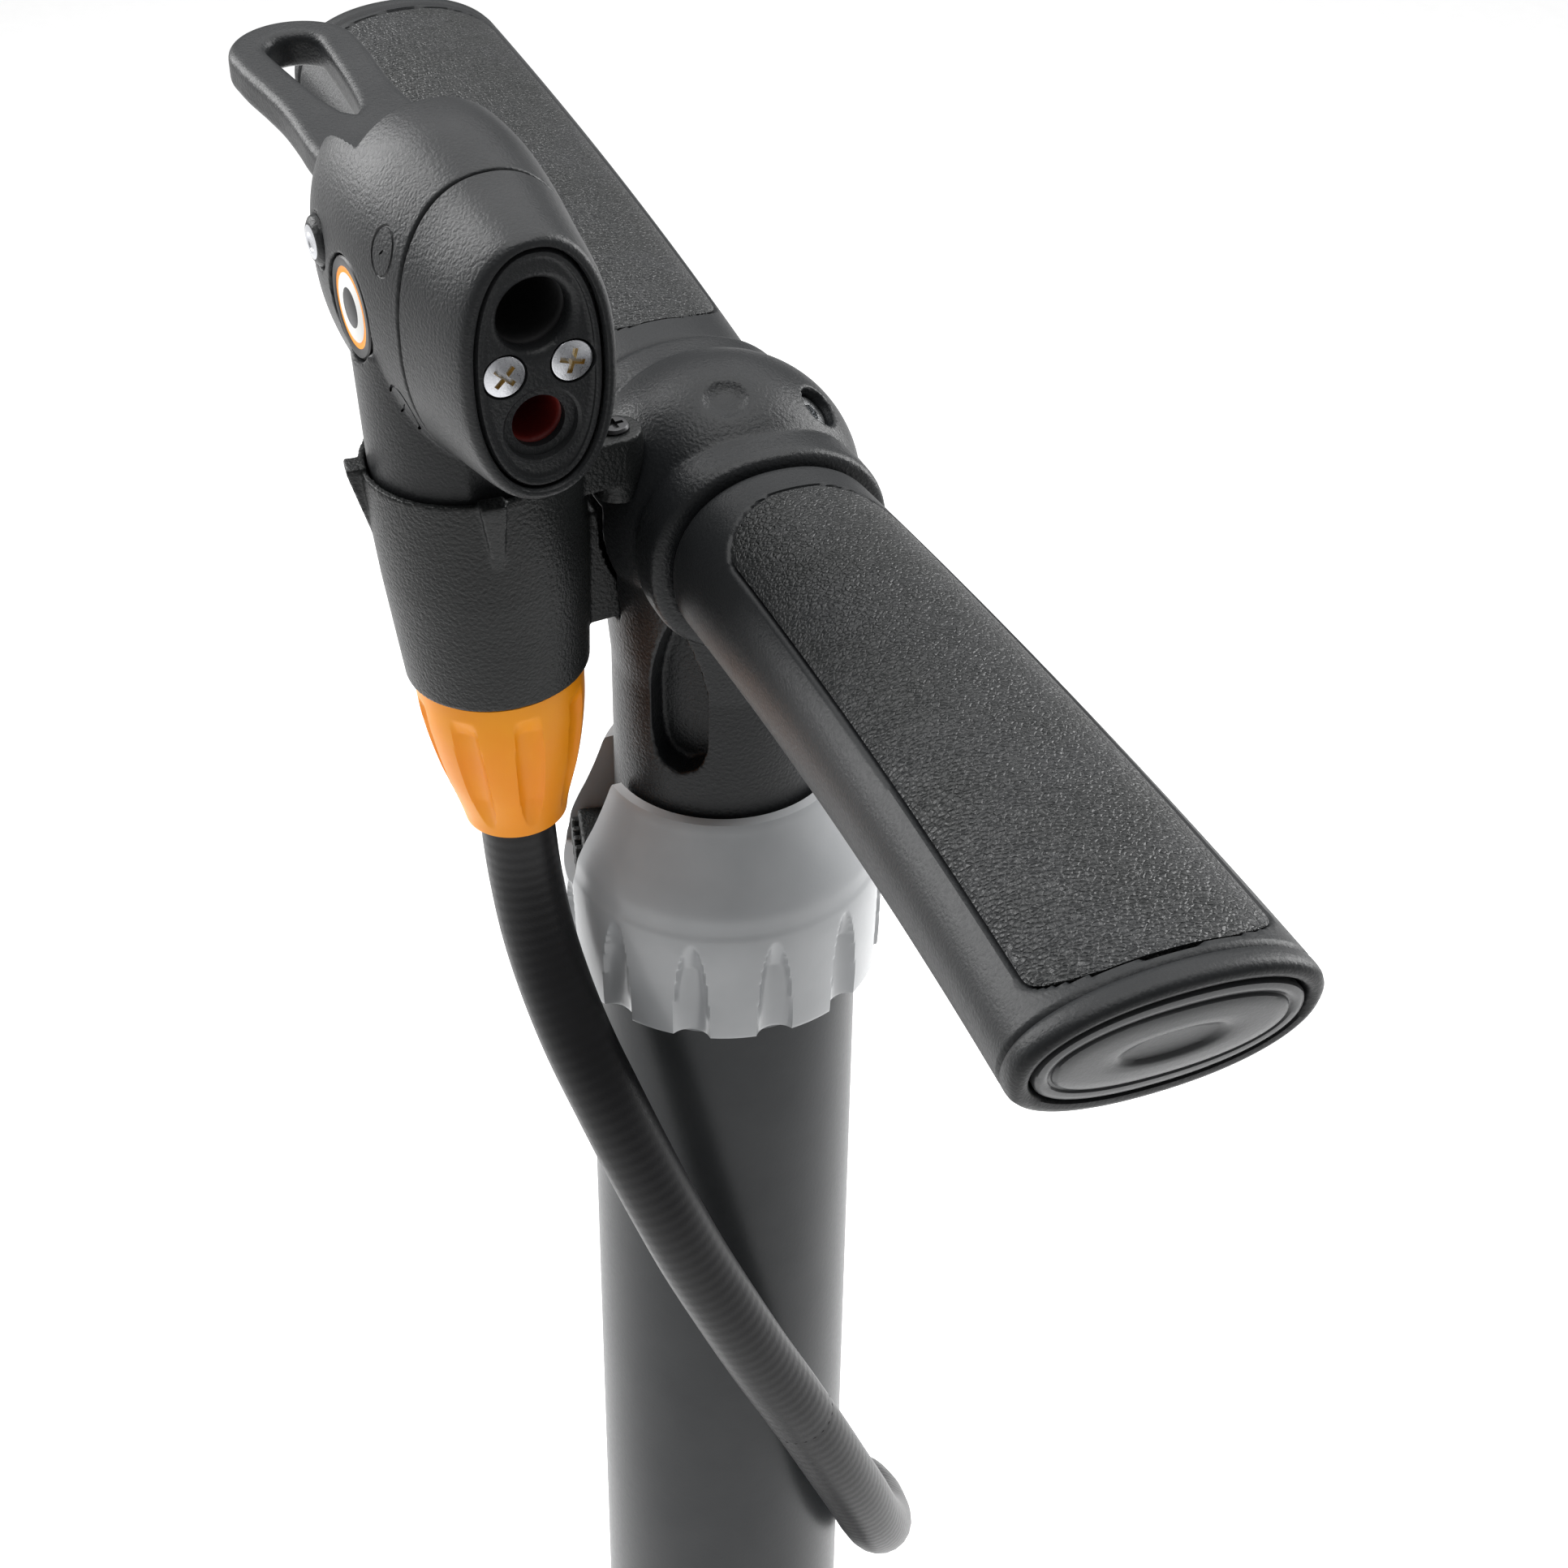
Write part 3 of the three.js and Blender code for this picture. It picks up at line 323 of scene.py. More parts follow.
def gathered(obj, *others):
    """One mesh of several loose shells."""
    shape = bmesh.new()
    shape.from_mesh(obj.data)
    for other in others:
        shape.from_mesh(other.data)
        bpy.data.objects.remove(other)
    shape.to_mesh(obj.data)
    shape.free()
    return obj


def finish(obj, name, looks, body, matrix=WORLD, stands_for=None, sharp=40):
    obj.data.transform(MILLIMETRE @ matrix)
    obj.name = name
    obj.data.materials.clear()
    for look in looks if isinstance(looks, list) else [looks]:
        obj.data.materials.append(look)
    obj.data.shade_smooth()
    obj.data.set_sharp_from_angle(angle=math.radians(sharp))
    if body:
        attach(obj, body)
    nodes = stands_for or [name]
    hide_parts(*nodes)
    return obj


def paint(obj, kinds):
    """Gives each face the look with its number; it comes after finish, which sets them all to the first."""
    for face, kind in zip(obj.data.polygons, kinds):
        face.material_index = kind


# ---- materials ----
MOTTLE_SIZE = 0.012
PEBBLES_PER_METRE = 1500.0
WARPS_PER_METRE = 420.0
WARP_REACH = 0.0006
HOSE_RIB = 1.7


def linked(nodes, links, kind, **inputs):
    node = nodes.new(kind)
    for key, value in inputs.items():
        socket = node.inputs[key.replace("_", " ")]
        if hasattr(value, "node"):
            links.new(value, socket)
        else:
            socket.default_value = value
    return node


def surface(name, low, high, rough, grain, depth, metallic=0.0, stretch=(1, 1, 1), coat=0.0, shine=0.5):
    """A material whose colour wanders from low to high, with a fine grain.

    rough is the roughness at the grain's two ends, and grain and depth are its size and depth in mm.
    """
    look = bpy.data.materials.new(name)
    look.use_nodes = True
    nodes, links = look.node_tree.nodes, look.node_tree.links
    shader = nodes["Principled BSDF"]
    shader.inputs["Metallic"].default_value = metallic
    shader.inputs["Coat Weight"].default_value = coat
    shader.inputs["Specular IOR Level"].default_value = shine
    shader.inputs["Coat Roughness"].default_value = 0.15
    where = nodes.new("ShaderNodeTexCoord").outputs["Object"]
    scaled = linked(nodes, links, "ShaderNodeMapping", Vector=where, Scale=stretch).outputs[0]
    broad = linked(nodes, links, "ShaderNodeTexNoise", Vector=where, Scale=1 / MOTTLE_SIZE, Detail=3.0)
    noise = linked(nodes, links, "ShaderNodeTexNoise", Vector=scaled, Scale=1000 / grain, Detail=2.0)
    fine = noise.outputs[0]
    ramp = linked(nodes, links, "ShaderNodeValToRGB", Fac=broad.outputs[0])
    ramp.color_ramp.elements[0].position = 0.35
    ramp.color_ramp.elements[0].color = (*low, 1)
    ramp.color_ramp.elements[1].position = 0.65
    ramp.color_ramp.elements[1].color = (*high, 1)
    links.new(ramp.outputs[0], shader.inputs["Base Color"])
    gloss = linked(nodes, links, "ShaderNodeMapRange", Value=fine)
    gloss.inputs["To Min"].default_value = rough[0]
    gloss.inputs["To Max"].default_value = rough[1]
    links.new(gloss.outputs[0], shader.inputs["Roughness"])
    bump = linked(nodes, links, "ShaderNodeBump", Height=fine, Strength=1.0, Distance=depth * 0.001)
    links.new(bump.outputs[0], shader.inputs["Normal"])
    return look


def leather(name, low, high):
    """Soft-touch skin with a pebbled leather grain."""
    look = surface(name, low, high, (0.30, 0.52), 0.5, 0.22, shine=0.35)
    nodes, links = look.node_tree.nodes, look.node_tree.links
    where = nodes["Texture Coordinate"].outputs["Object"]
    warp = linked(nodes, links, "ShaderNodeTexNoise", Vector=where, Scale=WARPS_PER_METRE, Detail=2.0)
    shift = nodes.new("ShaderNodeVectorMath")
    shift.operation = "SCALE"
    links.new(warp.outputs[1], shift.inputs[0])
    shift.inputs[3].default_value = WARP_REACH
    bent = linked(nodes, links, "ShaderNodeVectorMath")
    links.new(where, bent.inputs[0])
    links.new(shift.outputs[0], bent.inputs[1])
    pebbles = linked(nodes, links, "ShaderNodeTexVoronoi", Vector=bent.outputs[0], Scale=PEBBLES_PER_METRE)
    pebbles.feature = "DISTANCE_TO_EDGE"
    crease = linked(nodes, links, "ShaderNodeMapRange", Value=pebbles.outputs[0])
    crease.inputs["From Max"].default_value = 0.22
    bump = linked(nodes, links, "ShaderNodeBump", Height=crease.outputs[0], Strength=0.9, Distance=0.00016)
    links.new(nodes["Bump"].outputs[0], bump.inputs["Normal"])
    links.new(bump.outputs[0], nodes["Principled BSDF"].inputs["Normal"])
    return look


def ribbed_rubber(name, low, high, rib):
    """Hose rubber with faint ribs round it, one every rib mm along the UV map's second axis.

    A wave texture turns by 20 radians for each unit of its scale.
    """
    look = surface(name, low, high, (0.34, 0.46), 0.5, 0.015, shine=0.3)
    nodes, links = look.node_tree.nodes, look.node_tree.links
    along = nodes.new("ShaderNodeUVMap")
    bands = 2 * math.pi / (20 * rib * 0.001)
    wave = linked(nodes, links, "ShaderNodeTexWave", Vector=along.outputs[0], Scale=bands)
    wave.bands_direction = "Y"
    bump = linked(nodes, links, "ShaderNodeBump", Height=wave.outputs[1], Strength=0.25, Distance=0.00008)
    links.new(nodes["Bump"].outputs[0], bump.inputs["Normal"])
    links.new(bump.outputs[0], nodes["Principled BSDF"].inputs["Normal"])
    return look


def glass(name):
    look = surface(name, (0.95, 0.97, 0.98), (0.98, 0.99, 1.0), (0.02, 0.05), 3, 0.001)
    shader = look.node_tree.nodes["Principled BSDF"]
    shader.inputs["Transmission Weight"].default_value = 1.0
    shader.inputs["IOR"].default_value = 1.2
    return look


HUB_BLACK = surface("hub_black", (0.010, 0.011, 0.012), (0.014, 0.015, 0.016), (0.30, 0.46), 0.45, 0.10,
                    shine=0.25)
CUP_BLACK = surface("cup_black", (0.007, 0.008, 0.008), (0.011, 0.012, 0.012), (0.32, 0.52), 0.45, 0.16,
                    shine=0.28)
HEAD_DARK = surface("head_dark", (0.014, 0.015, 0.016), (0.019, 0.020, 0.021), (0.32, 0.46), 0.42, 0.09,
                    shine=0.25)
# The end caps are coloured lighter than the other dark plastics as a painted highlight, standing in for the
# bright light they reflect.
CAP_PAINTED_SHEEN = surface("cap_painted_sheen", (0.050, 0.052, 0.054), (0.062, 0.064, 0.066), (0.30, 0.42), 0.35, 0.02,
                   shine=0.5)
GRIP_SKIN = surface("grip_skin", (0.012, 0.013, 0.014), (0.017, 0.018, 0.019), (0.36, 0.52), 0.40, 0.06,
                    shine=0.22)
GRIP_GRAIN = leather("grip_grain", (0.011, 0.012, 0.012), (0.016, 0.017, 0.018))
COLLAR_GREY = surface("collar_grey", (0.34, 0.35, 0.36), (0.39, 0.40, 0.41), (0.26, 0.36), 0.4, 0.012,
                      coat=0.25)
NUT_ORANGE = surface("nut_orange", (0.98, 0.31, 0.003), (1.0, 0.36, 0.006), (0.32, 0.44), 0.4, 0.015,
                     shine=0.2)
BARREL_PAINT = surface("barrel_paint", (0.030, 0.032, 0.034), (0.037, 0.039, 0.041), (0.28, 0.38), 0.6, 0.012,
                       metallic=0.2, shine=0.3)
HOSE_RUBBER = ribbed_rubber("hose_rubber", (0.007, 0.007, 0.008), (0.011, 0.011, 0.012), HOSE_RIB)
RUBBER = surface("rubber", (0.014, 0.014, 0.015), (0.022, 0.022, 0.023), (0.6, 0.8), 0.5, 0.03)
GASKET_RED = surface("gasket_red", (0.16, 0.010, 0.007), (0.22, 0.016, 0.010), (0.5, 0.65), 0.4, 0.02)
BLACK_STEEL = surface("black_steel", (0.05, 0.05, 0.052), (0.07, 0.07, 0.072), (0.3, 0.42), 0.4, 0.01,
                      metallic=0.8)
STEEL = surface("steel", (0.58, 0.59, 0.60), (0.68, 0.69, 0.70), (0.16, 0.30), 0.5, 0.006, metallic=1.0,
                stretch=(1, 1, 0.05))
SCREW_ZINC = surface("screw_zinc", (0.62, 0.63, 0.66), (0.74, 0.75, 0.78), (0.22, 0.36), 0.3, 0.01,
                     metallic=1.0)
SCREW_BRASS = surface("screw_brass", (0.52, 0.36, 0.12), (0.64, 0.46, 0.18), (0.30, 0.42), 0.3, 0.01,
                      metallic=1.0)
BRASS = surface("brass", (0.55, 0.38, 0.14), (0.66, 0.48, 0.20), (0.22, 0.34), 0.5, 0.01, metallic=1.0)
WHITE = surface("white_plastic", (0.72, 0.72, 0.70), (0.80, 0.80, 0.78), (0.35, 0.5), 0.5, 0.01)
DIAL_WHITE = surface("dial_white", (0.82, 0.82, 0.80), (0.88, 0.88, 0.86), (0.4, 0.5), 0.4, 0.004)
INK = surface("ink", (0.012, 0.012, 0.013), (0.018, 0.018, 0.019), (0.4, 0.5), 0.4, 0.004)
NEEDLE_RED = surface("needle_red", (0.50, 0.020, 0.012), (0.60, 0.030, 0.016), (0.3, 0.4), 0.4, 0.006)
LENS = glass("lens")


# ---- camera, light and floor ----
FLOOR = 4000


def add_camera():
    data = bpy.data.cameras.new("camera")
    data.sensor_width = 36
    data.lens = 68.7
    data.shift_x = 0.0393
    data.clip_start = 0.01
    camera = bpy.data.objects.new("camera", data)
    camera.location = (0.3067, -0.1239, 0.8579)
    aim = Vector((0, 0, 0.6131)) - camera.location
    camera.rotation_euler = aim.to_track_quat("-Z", "Y").to_euler()
    bpy.context.scene.collection.objects.link(camera)
    bpy.context.scene.camera = camera


def add_light(name, place, size, watts, aim=(0, 0, 0.63)):
    data = bpy.data.lights.new(name, "AREA")
    data.shape = "RECTANGLE"
    data.size, data.size_y = size
    data.energy = watts
    light = bpy.data.objects.new(name, data)
    light.location = place
    light.rotation_euler = (Vector(aim) - Vector(place)).to_track_quat("-Z", "Y").to_euler()
    bpy.context.scene.collection.objects.link(light)


def add_studio():
    world = bpy.data.worlds.new("studio")
    world.use_nodes = True
    sky = world.node_tree.nodes["Background"]
    sky.inputs["Color"].default_value = (1, 1, 1, 1)
    sky.inputs["Strength"].default_value = 0.22
    bpy.context.scene.world = world
    bpy.context.scene.view_settings.view_transform = "Standard"
    add_light("left_rear", (-0.75, -0.55, 1.05), (0.5, 0.9), 12)
    add_light("right_rear", (-0.15, 0.95, 0.95), (0.5, 0.9), 12)
    add_light("overhead", (0.1, 0.0, 1.7), (0.9, 0.9), 6)
    add_light("floor_wash", (-0.6, 0.3, 1.4), (1.6, 1.6), 14, aim=(-0.6, 0.3, 0))
    add_floor()


def floor_paper():
    paper = surface("floor_paper", (0.90, 0.90, 0.90), (0.93, 0.93, 0.93), (0.7, 0.8), 2, 0.01)
    shader = paper.node_tree.nodes["Principled BSDF"]
    shader.inputs["Emission Color"].default_value = (1, 1, 1, 1)
    shader.inputs["Emission Strength"].default_value = 0.5
    return paper


def add_floor():
    corners = [(-FLOOR, -FLOOR, 0), (FLOOR, -FLOOR, 0), (FLOOR, FLOOR, 0), (-FLOOR, FLOOR, 0)]
    floor = moved(solid(corners, [(0, 1, 2, 3)]), MILLIMETRE)
    floor.name = "floor"
    floor.data.materials.append(floor_paper())


# ---- hose ----
HOSE_SPLIT = 12
WIND_STEPS = 48
WIND_DEGREES = (103, 1122)
WIND_Z = (450.8, 110)
WIND_R = 27.4
HOSE_TOP = [
    (0, -29.8, 617.6), (1.1, -29.3, 607.6), (4, -28.7, 598.9), (8.2, -27.6, 591.2), (12.4, -26.1, 584.5),
    (16.4, -23.8, 577), (19.7, -21.2, 569), (22.5, -18.2, 560.4), (24.9, -14.7, 551), (26.8, -10.5, 541),
    (28, -5.7, 530), (28.4, -0.9, 519.6), (28.1, 3.8, 509), (27.2, 8.2, 498.6), (25.2, 12.6, 488),
    (22.2, 16.5, 478), (18.3, 20, 470), (13.4, 23.1, 463.8), (7.4, 25.4, 459.2), (0.8, 26.8, 455.2),
]
HOSE_FOOT = [
    (20.3, 33.6, 104.2), (13.6, 38.6, 96), (7.6, 41.6, 85.4), (3, 42.9, 73), (0.8, 43, 60.6),
    (0, 43, 50), (0, 43, 40), (0, 43, 30.3),
]


def hose_route():
    """The chosen points at both ends, with the turns round the barrel between them."""
    route = list(HOSE_TOP)
    for i in range(WIND_STEPS + 1):
        t = i / WIND_STEPS
        a = math.radians(mix(*WIND_DEGREES, t))
        r = WIND_R + 3.6 * min(1, t * 4) + 6 * max(0, t - 0.75) / 0.25
        route.append((r * math.cos(a), r * math.sin(a), mix(*WIND_Z, t + 0.35 * t * (1 - t))))
    return [Vector(p) for p in route + HOSE_FOOT]


def flowing(points, steps):
    """A centripetal Catmull-Rom curve through the points."""
    ends = [points[0] * 2 - points[1], *points, points[-1] * 2 - points[-2]]
    result = []
    for i in range(len(points) - 1):
        p = ends[i:i + 4]
        t = [0]
        for k in range(3):
            t.append(t[-1] + max(1e-6, (p[k + 1] - p[k]).length ** 0.5))
        for k in range(steps):
            u = mix(t[1], t[2], k / steps)
            a = [p[j].lerp(p[j + 1], (u - t[j]) / (t[j + 1] - t[j])) for j in range(3)]
            b = [a[j].lerp(a[j + 1], (u - t[j]) / (t[j + 2] - t[j])) for j in range(2)]
            result.append(b[0].lerp(b[1], (u - t[1]) / (t[2] - t[1])))
    return [*result, points[-1]]


def hose_tube(path, sides=20):
    """A tube with a UV map: once round in u, metres along in v."""
    side = Vector((1, 0, 0.01))
    points, lengths, run = [], [], 0
    for i, at in enumerate(path):
        ahead = (path[min(i + 1, len(path) - 1)] - path[max(i - 1, 0)]).normalized()
        side = (side - ahead * side.dot(ahead)).normalized()
        other = ahead.cross(side)
        for k in range(sides):
            a = 2 * math.pi * k / sides
            points.append(at + side * math.cos(a) * HOSE_R + other * math.sin(a) * HOSE_R)
        run += (at - path[i - 1]).length if i else 0
        lengths.append(run * 0.001)
    faces = []
    for i in range(len(path) - 1):
        a, b = i * sides, (i + 1) * sides
        faces += [(a + k, a + (k + 1) % sides, b + (k + 1) % sides, b + k) for k in range(sides)]
    last = (len(path) - 1) * sides
    faces.append(tuple(range(sides - 1, -1, -1)))
    faces.append(tuple(range(last, last + sides)))
    obj = solid(points, faces)
    layer = obj.data.uv_layers.new(name="along")
    for loop in obj.data.loops:
        row = loop.vertex_index // sides
        layer.data[loop.index].uv = (loop.vertex_index % sides / sides, lengths[row])
    return obj


def add_hose():
    route = hose_route()
    middle = route[HOSE_SPLIT - 1].lerp(route[HOSE_SPLIT], 0.5)
    runs = {"hose_upper": [*route[:HOSE_SPLIT], middle], "hose_lower": [middle, *route[HOSE_SPLIT:]]}
    for name, points in runs.items():
        path = flowing(points, 6)
        hose = finish(hose_tube(path), name, HOSE_RUBBER, None)
        if name == "hose_upper":
            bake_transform(hose)
        else:
            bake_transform(hose)


# ---- barrel and collar ----
FLUTES = 12
FLUTE_TURN = math.radians(27)
FLUTE_HALF = 2.45
FLUTE_H = 16.5
FLUTE_DEPTH = 1.6
CAP_BORE_R = 8.3
CAP_TOP_Z = 600.7


def collar_reach(r, z, a):
    """The collar's radius at a height and angle, with its pointed arches pressed in."""
    up = z - COLLAR_Z
    if r < BARREL_R + 1.6 or up > FLUTE_H:
        return r
    pitch = 2 * math.pi / FLUTES
    off = abs((a - FLUTE_TURN + pitch / 2) % pitch - pitch / 2) * COLLAR_R
    half = FLUTE_HALF * max(0.0, 1 - (max(0, up) / FLUTE_H) ** 2.4) ** 0.55
    if off >= half:
        return r
    return r - FLUTE_DEPTH * (1 - (off / half) ** 2) ** 0.55 * min(1, (FLUTE_H - up) / 5)


def add_collar():
    outer = [
        (21.1, 0), (21.8, 0.1), (22.1, 0.6), (22.3, 8), (22.25, 14), (22.0, 17.0), (21.75, 18.0),
        (21.65, 18.6), (21.3, 20.6), (20.3, 23.2), (19.2, 25.6), (18.1, 28.4), (17.2, 31), (16.8, 32.2),
        (16.3, 32.9), (15.4, COLLAR_H),
    ]
    rows = [(z, r) for r, z in outer]
    heights = [COLLAR_H * k / 110 for k in range(111)]
    wall = [(track(rows, z, 1), COLLAR_Z + z) for z in heights]
    inner = [
        (15.15, COLLAR_TOP_Z - 0.4), (15.1, 606.5), (20.1, 601.5), (20.1, COLLAR_Z + 0.4), (20.4, COLLAR_Z),
    ]
    collar = turned(wall + inner, 480, looped=True, reach=collar_reach)
    slot = block(-5.5, 5.5, -27, -12.8, INSERT_TOP_Z + GAP, COLLAR_TOP_Z + 4, 0.8)
    carved(collar, moved(slot, Matrix.Rotation(SLOT_TURN, 4, "Z")))
    finish(collar, "collar", COLLAR_GREY, "pump_body", sharp=32)


def add_latch():
    half = 5.2
    low = INSERT_TOP_Z + 2 * GAP
    body = block(-half, half, -COLLAR_R + 2.2, -15.4, low, low + 5.4, 0.5)
    ribs = [block(k * half - 0.6, k * half + 0.6, -COLLAR_R + 1.2, -COLLAR_R + 3.4, low + 0.4, low + 5, 0.3)
            for k in (-0.62, -0.2, 0.2, 0.62)]
    moved(joined(body, *ribs), Matrix.Rotation(SLOT_TURN, 4, "Z"))
    finish(body, "slot_latch", CUP_BLACK, "pump_body")


def add_barrel():
    barrel = tube(BARREL_R, BARREL_BORE_R, BARREL_FOOT_Z, BARREL_TOP_Z, 0.5, 160)
    finish(barrel, "barrel", BARREL_PAINT, "pump_body")


def add_barrel_cap():
    profile = [
        (CAP_BORE_R, CAP_TOP_Z), (CAP_BORE_R, 590), (17.2, 590), (17.2, 596.3), (19.8, 596.3),
        (19.8, CAP_TOP_Z),
    ]
    cap = turned(softened(profile, 0.4, closed=True), 96, looped=True)
    finish(cap, "barrel_cap", HUB_BLACK, "pump_body")


def add_rod_bush():
    finish(tube(8, 5.3, 588, CAP_TOP_Z), "rod_bush", WHITE, "pump_body")


def add_piston_rod():
    finish(dowel(ROD_R, 29, HANDLE_Z + 7, 0.6, 48), "piston_rod", STEEL, "handle")


def add_stop_bumper():
    bumper = tube(11.2, 5.6, INSERT_TOP_Z, INSERT_TOP_Z + 3, 0.5)
    finish(bumper, "stop_bumper", RUBBER, "handle")


# ---- hub ----
HUB_VOXEL = 0.34


def oval_ring(x, y, z, w, h, squareness=0.9, sides=72):
    """A ring of points across the X axis."""
    return [(x, y + power(math.cos(2 * math.pi * k / sides), squareness) * w,
             z + power(math.sin(2 * math.pi * k / sides), squareness) * h) for k in range(sides)]


def hub_lip(side):
    rows = [
        (2, 0.93), (8, 0.95), (9.6, 0.955), (10.4, 0.985), (11.4, 1), (15.2, 1), (16.1, 0.985), (16.6, 0.95),
        (16.8, 0.88), (16.8, 0.8),
    ]
    return skin([oval_ring(side * x, 0, HANDLE_Z - 0.4, 16 * k, 14 * k) for x, k in rows])


def hub_neck(side):
    return skin([oval_ring(side * x, 0, HANDLE_Z, 11.6, 10) for x in (4, 20)])


def on_ball(obj, way):
    """The solid, made along +Z from the ball's middle, turned to point a given way."""
    turn = UP.rotation_difference(Vector(way).normalized()).to_matrix().to_4x4()
    return moved(obj, Matrix.Translation((0, 0, HANDLE_Z)) @ turn)


def stem_pocket(turn):
    """A pointed-arch pocket in the stem's side."""
    outline = []
    for k in range(-12, 13):
        t = k / 12
        outline.append((4 * (1 - abs(t) ** (1.5 if t > 0 else 5)) ** (0.9 if t > 0 else 0.5), 12.5 * t))
    outline += [(-x, z) for x, z in reversed(outline[1:-1])]
    cutter = slab([outline], 0, 12, 0.2)
    upright = Matrix(((0, 0, 1, STEM_R - 4), (1, 0, 0, 0), (0, 1, 0, HANDLE_Z - 23), (0, 0, 0, 1)))
    return moved(cutter, Matrix.Rotation(turn, 4, "Z") @ upright)


def stem_solid():
    flare = STEM_R + 1.4
    return turned([
        (0, STEM_BOTTOM_Z), (STEM_R - 0.4, STEM_BOTTOM_Z), (STEM_R, STEM_BOTTOM_Z + 0.5),
        (STEM_R, HANDLE_Z - 24), (flare, HANDLE_Z - 8), (flare, HANDLE_Z), (0, HANDLE_Z),
    ], 96)


def dimple_cutter():
    """The shallow round dimple on top of the ball."""
    profile = [
        (0, HUB_R - 1.1), (1.6, HUB_R - 0.95), (2.8, HUB_R - 0.5), (3.6, HUB_R + 0.1), (3.9, HUB_R + 3),
        (0, HUB_R + 3),
    ]
    return on_ball(turned(profile), (0.36, -0.12, 1))


def add_hub():
    shells = [stem_solid(), hub_lip(1), hub_lip(-1), hub_neck(1), hub_neck(-1)]
    hub = moulded(gathered(ball(HUB_R, HANDLE_Z, 48, 96), *shells), HUB_VOXEL, 1)
    pockets = [stem_pocket(math.radians(a)) for a in (45, 135, 225, 315)]
    socket = on_ball(dowel(2.9, HUB_R - 7, HUB_R + 4), SCREW_WAY)
    rail_slot = moved(block(-2.9, 2.9, CUP_BOTTOM_R, 20.6, -28.9, -11.7, 0.2), PARKED)
    bore = dowel(ROD_R + GAP, STEM_BOTTOM_Z - 4, HANDLE_Z + 7.6)
    carved(hub, *pockets, dimple_cutter(), socket, rail_slot, bore)
    moulded(hub, HUB_VOXEL, 2)
    hub_nodes = ["handle_hub", "hub_plug"]
    finish(hub, "handle_hub", HUB_BLACK, "handle", stands_for=hub_nodes, sharp=60)


def add_hub_screw():
    recess = slab([hexagon(1.3)], HUB_R - 3.6, HUB_R, 0.02)
    screw = carved(dowel(2.6, HUB_R - 6.6, HUB_R - 1.6, 0.3), recess)
    finish(on_ball(screw, SCREW_WAY), "hub_screw", STEEL, "handle")


# ---- grips ----
GRIP_ROWS = 230
GRIP_SIDES = 208
GRIP_ANGLES = [2 * math.pi * k / GRIP_SIDES for k in range(GRIP_SIDES)]
PAD_FROM = 0.05
PAD_TO = 0.957
PAD_ROWS = 170
GRIP_X = (17.5, 125)
GRIP_W = (13.8, 17)
GRIP_H = (12.4, 9.6)
GRIP_SQUARENESS = 0.92
GRIP_END_LEAN = math.radians(15)


def grip_point(side, inset, t, a, r=1.0):
    """A point on the grip: t runs from hub to end, a goes round, and r shrinks it to the middle."""
    w = mix(*GRIP_W, t) - inset
    h = mix(*GRIP_H, t) - inset
    rise = power(math.sin(a), GRIP_SQUARENESS) * h * r
    return (side * (mix(*GRIP_X, t) + rise * math.tan(GRIP_END_LEAN) * t ** 4),
            -4.6 * t * t + side * power(math.cos(a), GRIP_SQUARENESS) * w * r,
            HANDLE_Z + 9.4 * t + rise)


def pad_half(t):
    """Half the grained panel's width in plan, rounded off at its two ends."""
    k = (t - PAD_FROM) / (PAD_TO - PAD_FROM)
    if k <= 0 or k >= 1:
        return 0.0
    half = mix(GRIP_W[0] * 0.8, GRIP_W[1] * 0.79, k)
    root = min(1, (t - PAD_FROM) / 0.085)
    end = min(1, (PAD_TO - t) / 0.045)
    return half * (1 - (1 - root) ** 2.2) ** 0.5 * (1 - (1 - end) ** 3) ** 0.4


def grip_dip(t, a):
    """How far the grip's skin drops under the panel."""
    if math.sin(a) <= 0:
        return 0.0
    half = pad_half(t)
    across = abs(power(math.cos(a), GRIP_SQUARENESS)) * mix(*GRIP_W, t)
    return 1.2 * step(-0.3, 0.1, half - across) * min(1, half * 0.4)


def add_grip(where, side):
    ends = [(0.000, 1.0), (0.0004, 0.5), (0.002, 0.15), (0.006, 0.02)]
    body = [(mix(0.012, 0.982, k / GRIP_ROWS), 0.0) for k in range(GRIP_ROWS + 1)]
    lip = [(0.988, 0.06), (0.994, 0.3), (0.998, 0.75), (1.0, 1.3), (0.9985, 1.9), (0.994, 2.2), (0.96, 2.3)]
    rings = []
    for t, inset in ends + body + lip:
        groove = 0.35 * step(0.9670, 0.9690, t) * (1 - step(0.9705, 0.9725, t))
        rings.append([grip_point(side, inset + groove + grip_dip(t, a), t, a) for a in GRIP_ANGLES])
    finish(skin(rings), f"grip_{where}", GRIP_SKIN, "handle", sharp=50)


def add_end_cap(where, side):
    rows = [
        (0.958, 2.55, 1), (0.996, 2.55, 1), (0.9995, 2.75, 1), (1.001, 3.3, 1), (1.0005, 3.8, 1),
        (0.998, 4.0, 1), (0.998, 4.3, 1), (1.0015, 4.5, 1), (1.003, 4.9, 1), (1.004, 5.2, 0.9),
        (1.0045, 5.2, 0.72), (1.0045, 5.2, 0.56), (1.003, 5.2, 0.50), (0.999, 5.2, 0.44), (0.9975, 5.2, 0.3),
    ]
    cap = skin([[grip_point(side, inset, t, a, r) for a in GRIP_ANGLES[::2]] for t, inset, r in rows])
    finish(cap, f"end_cap_{where}", CAP_PAINTED_SHEEN, "handle", sharp=50)


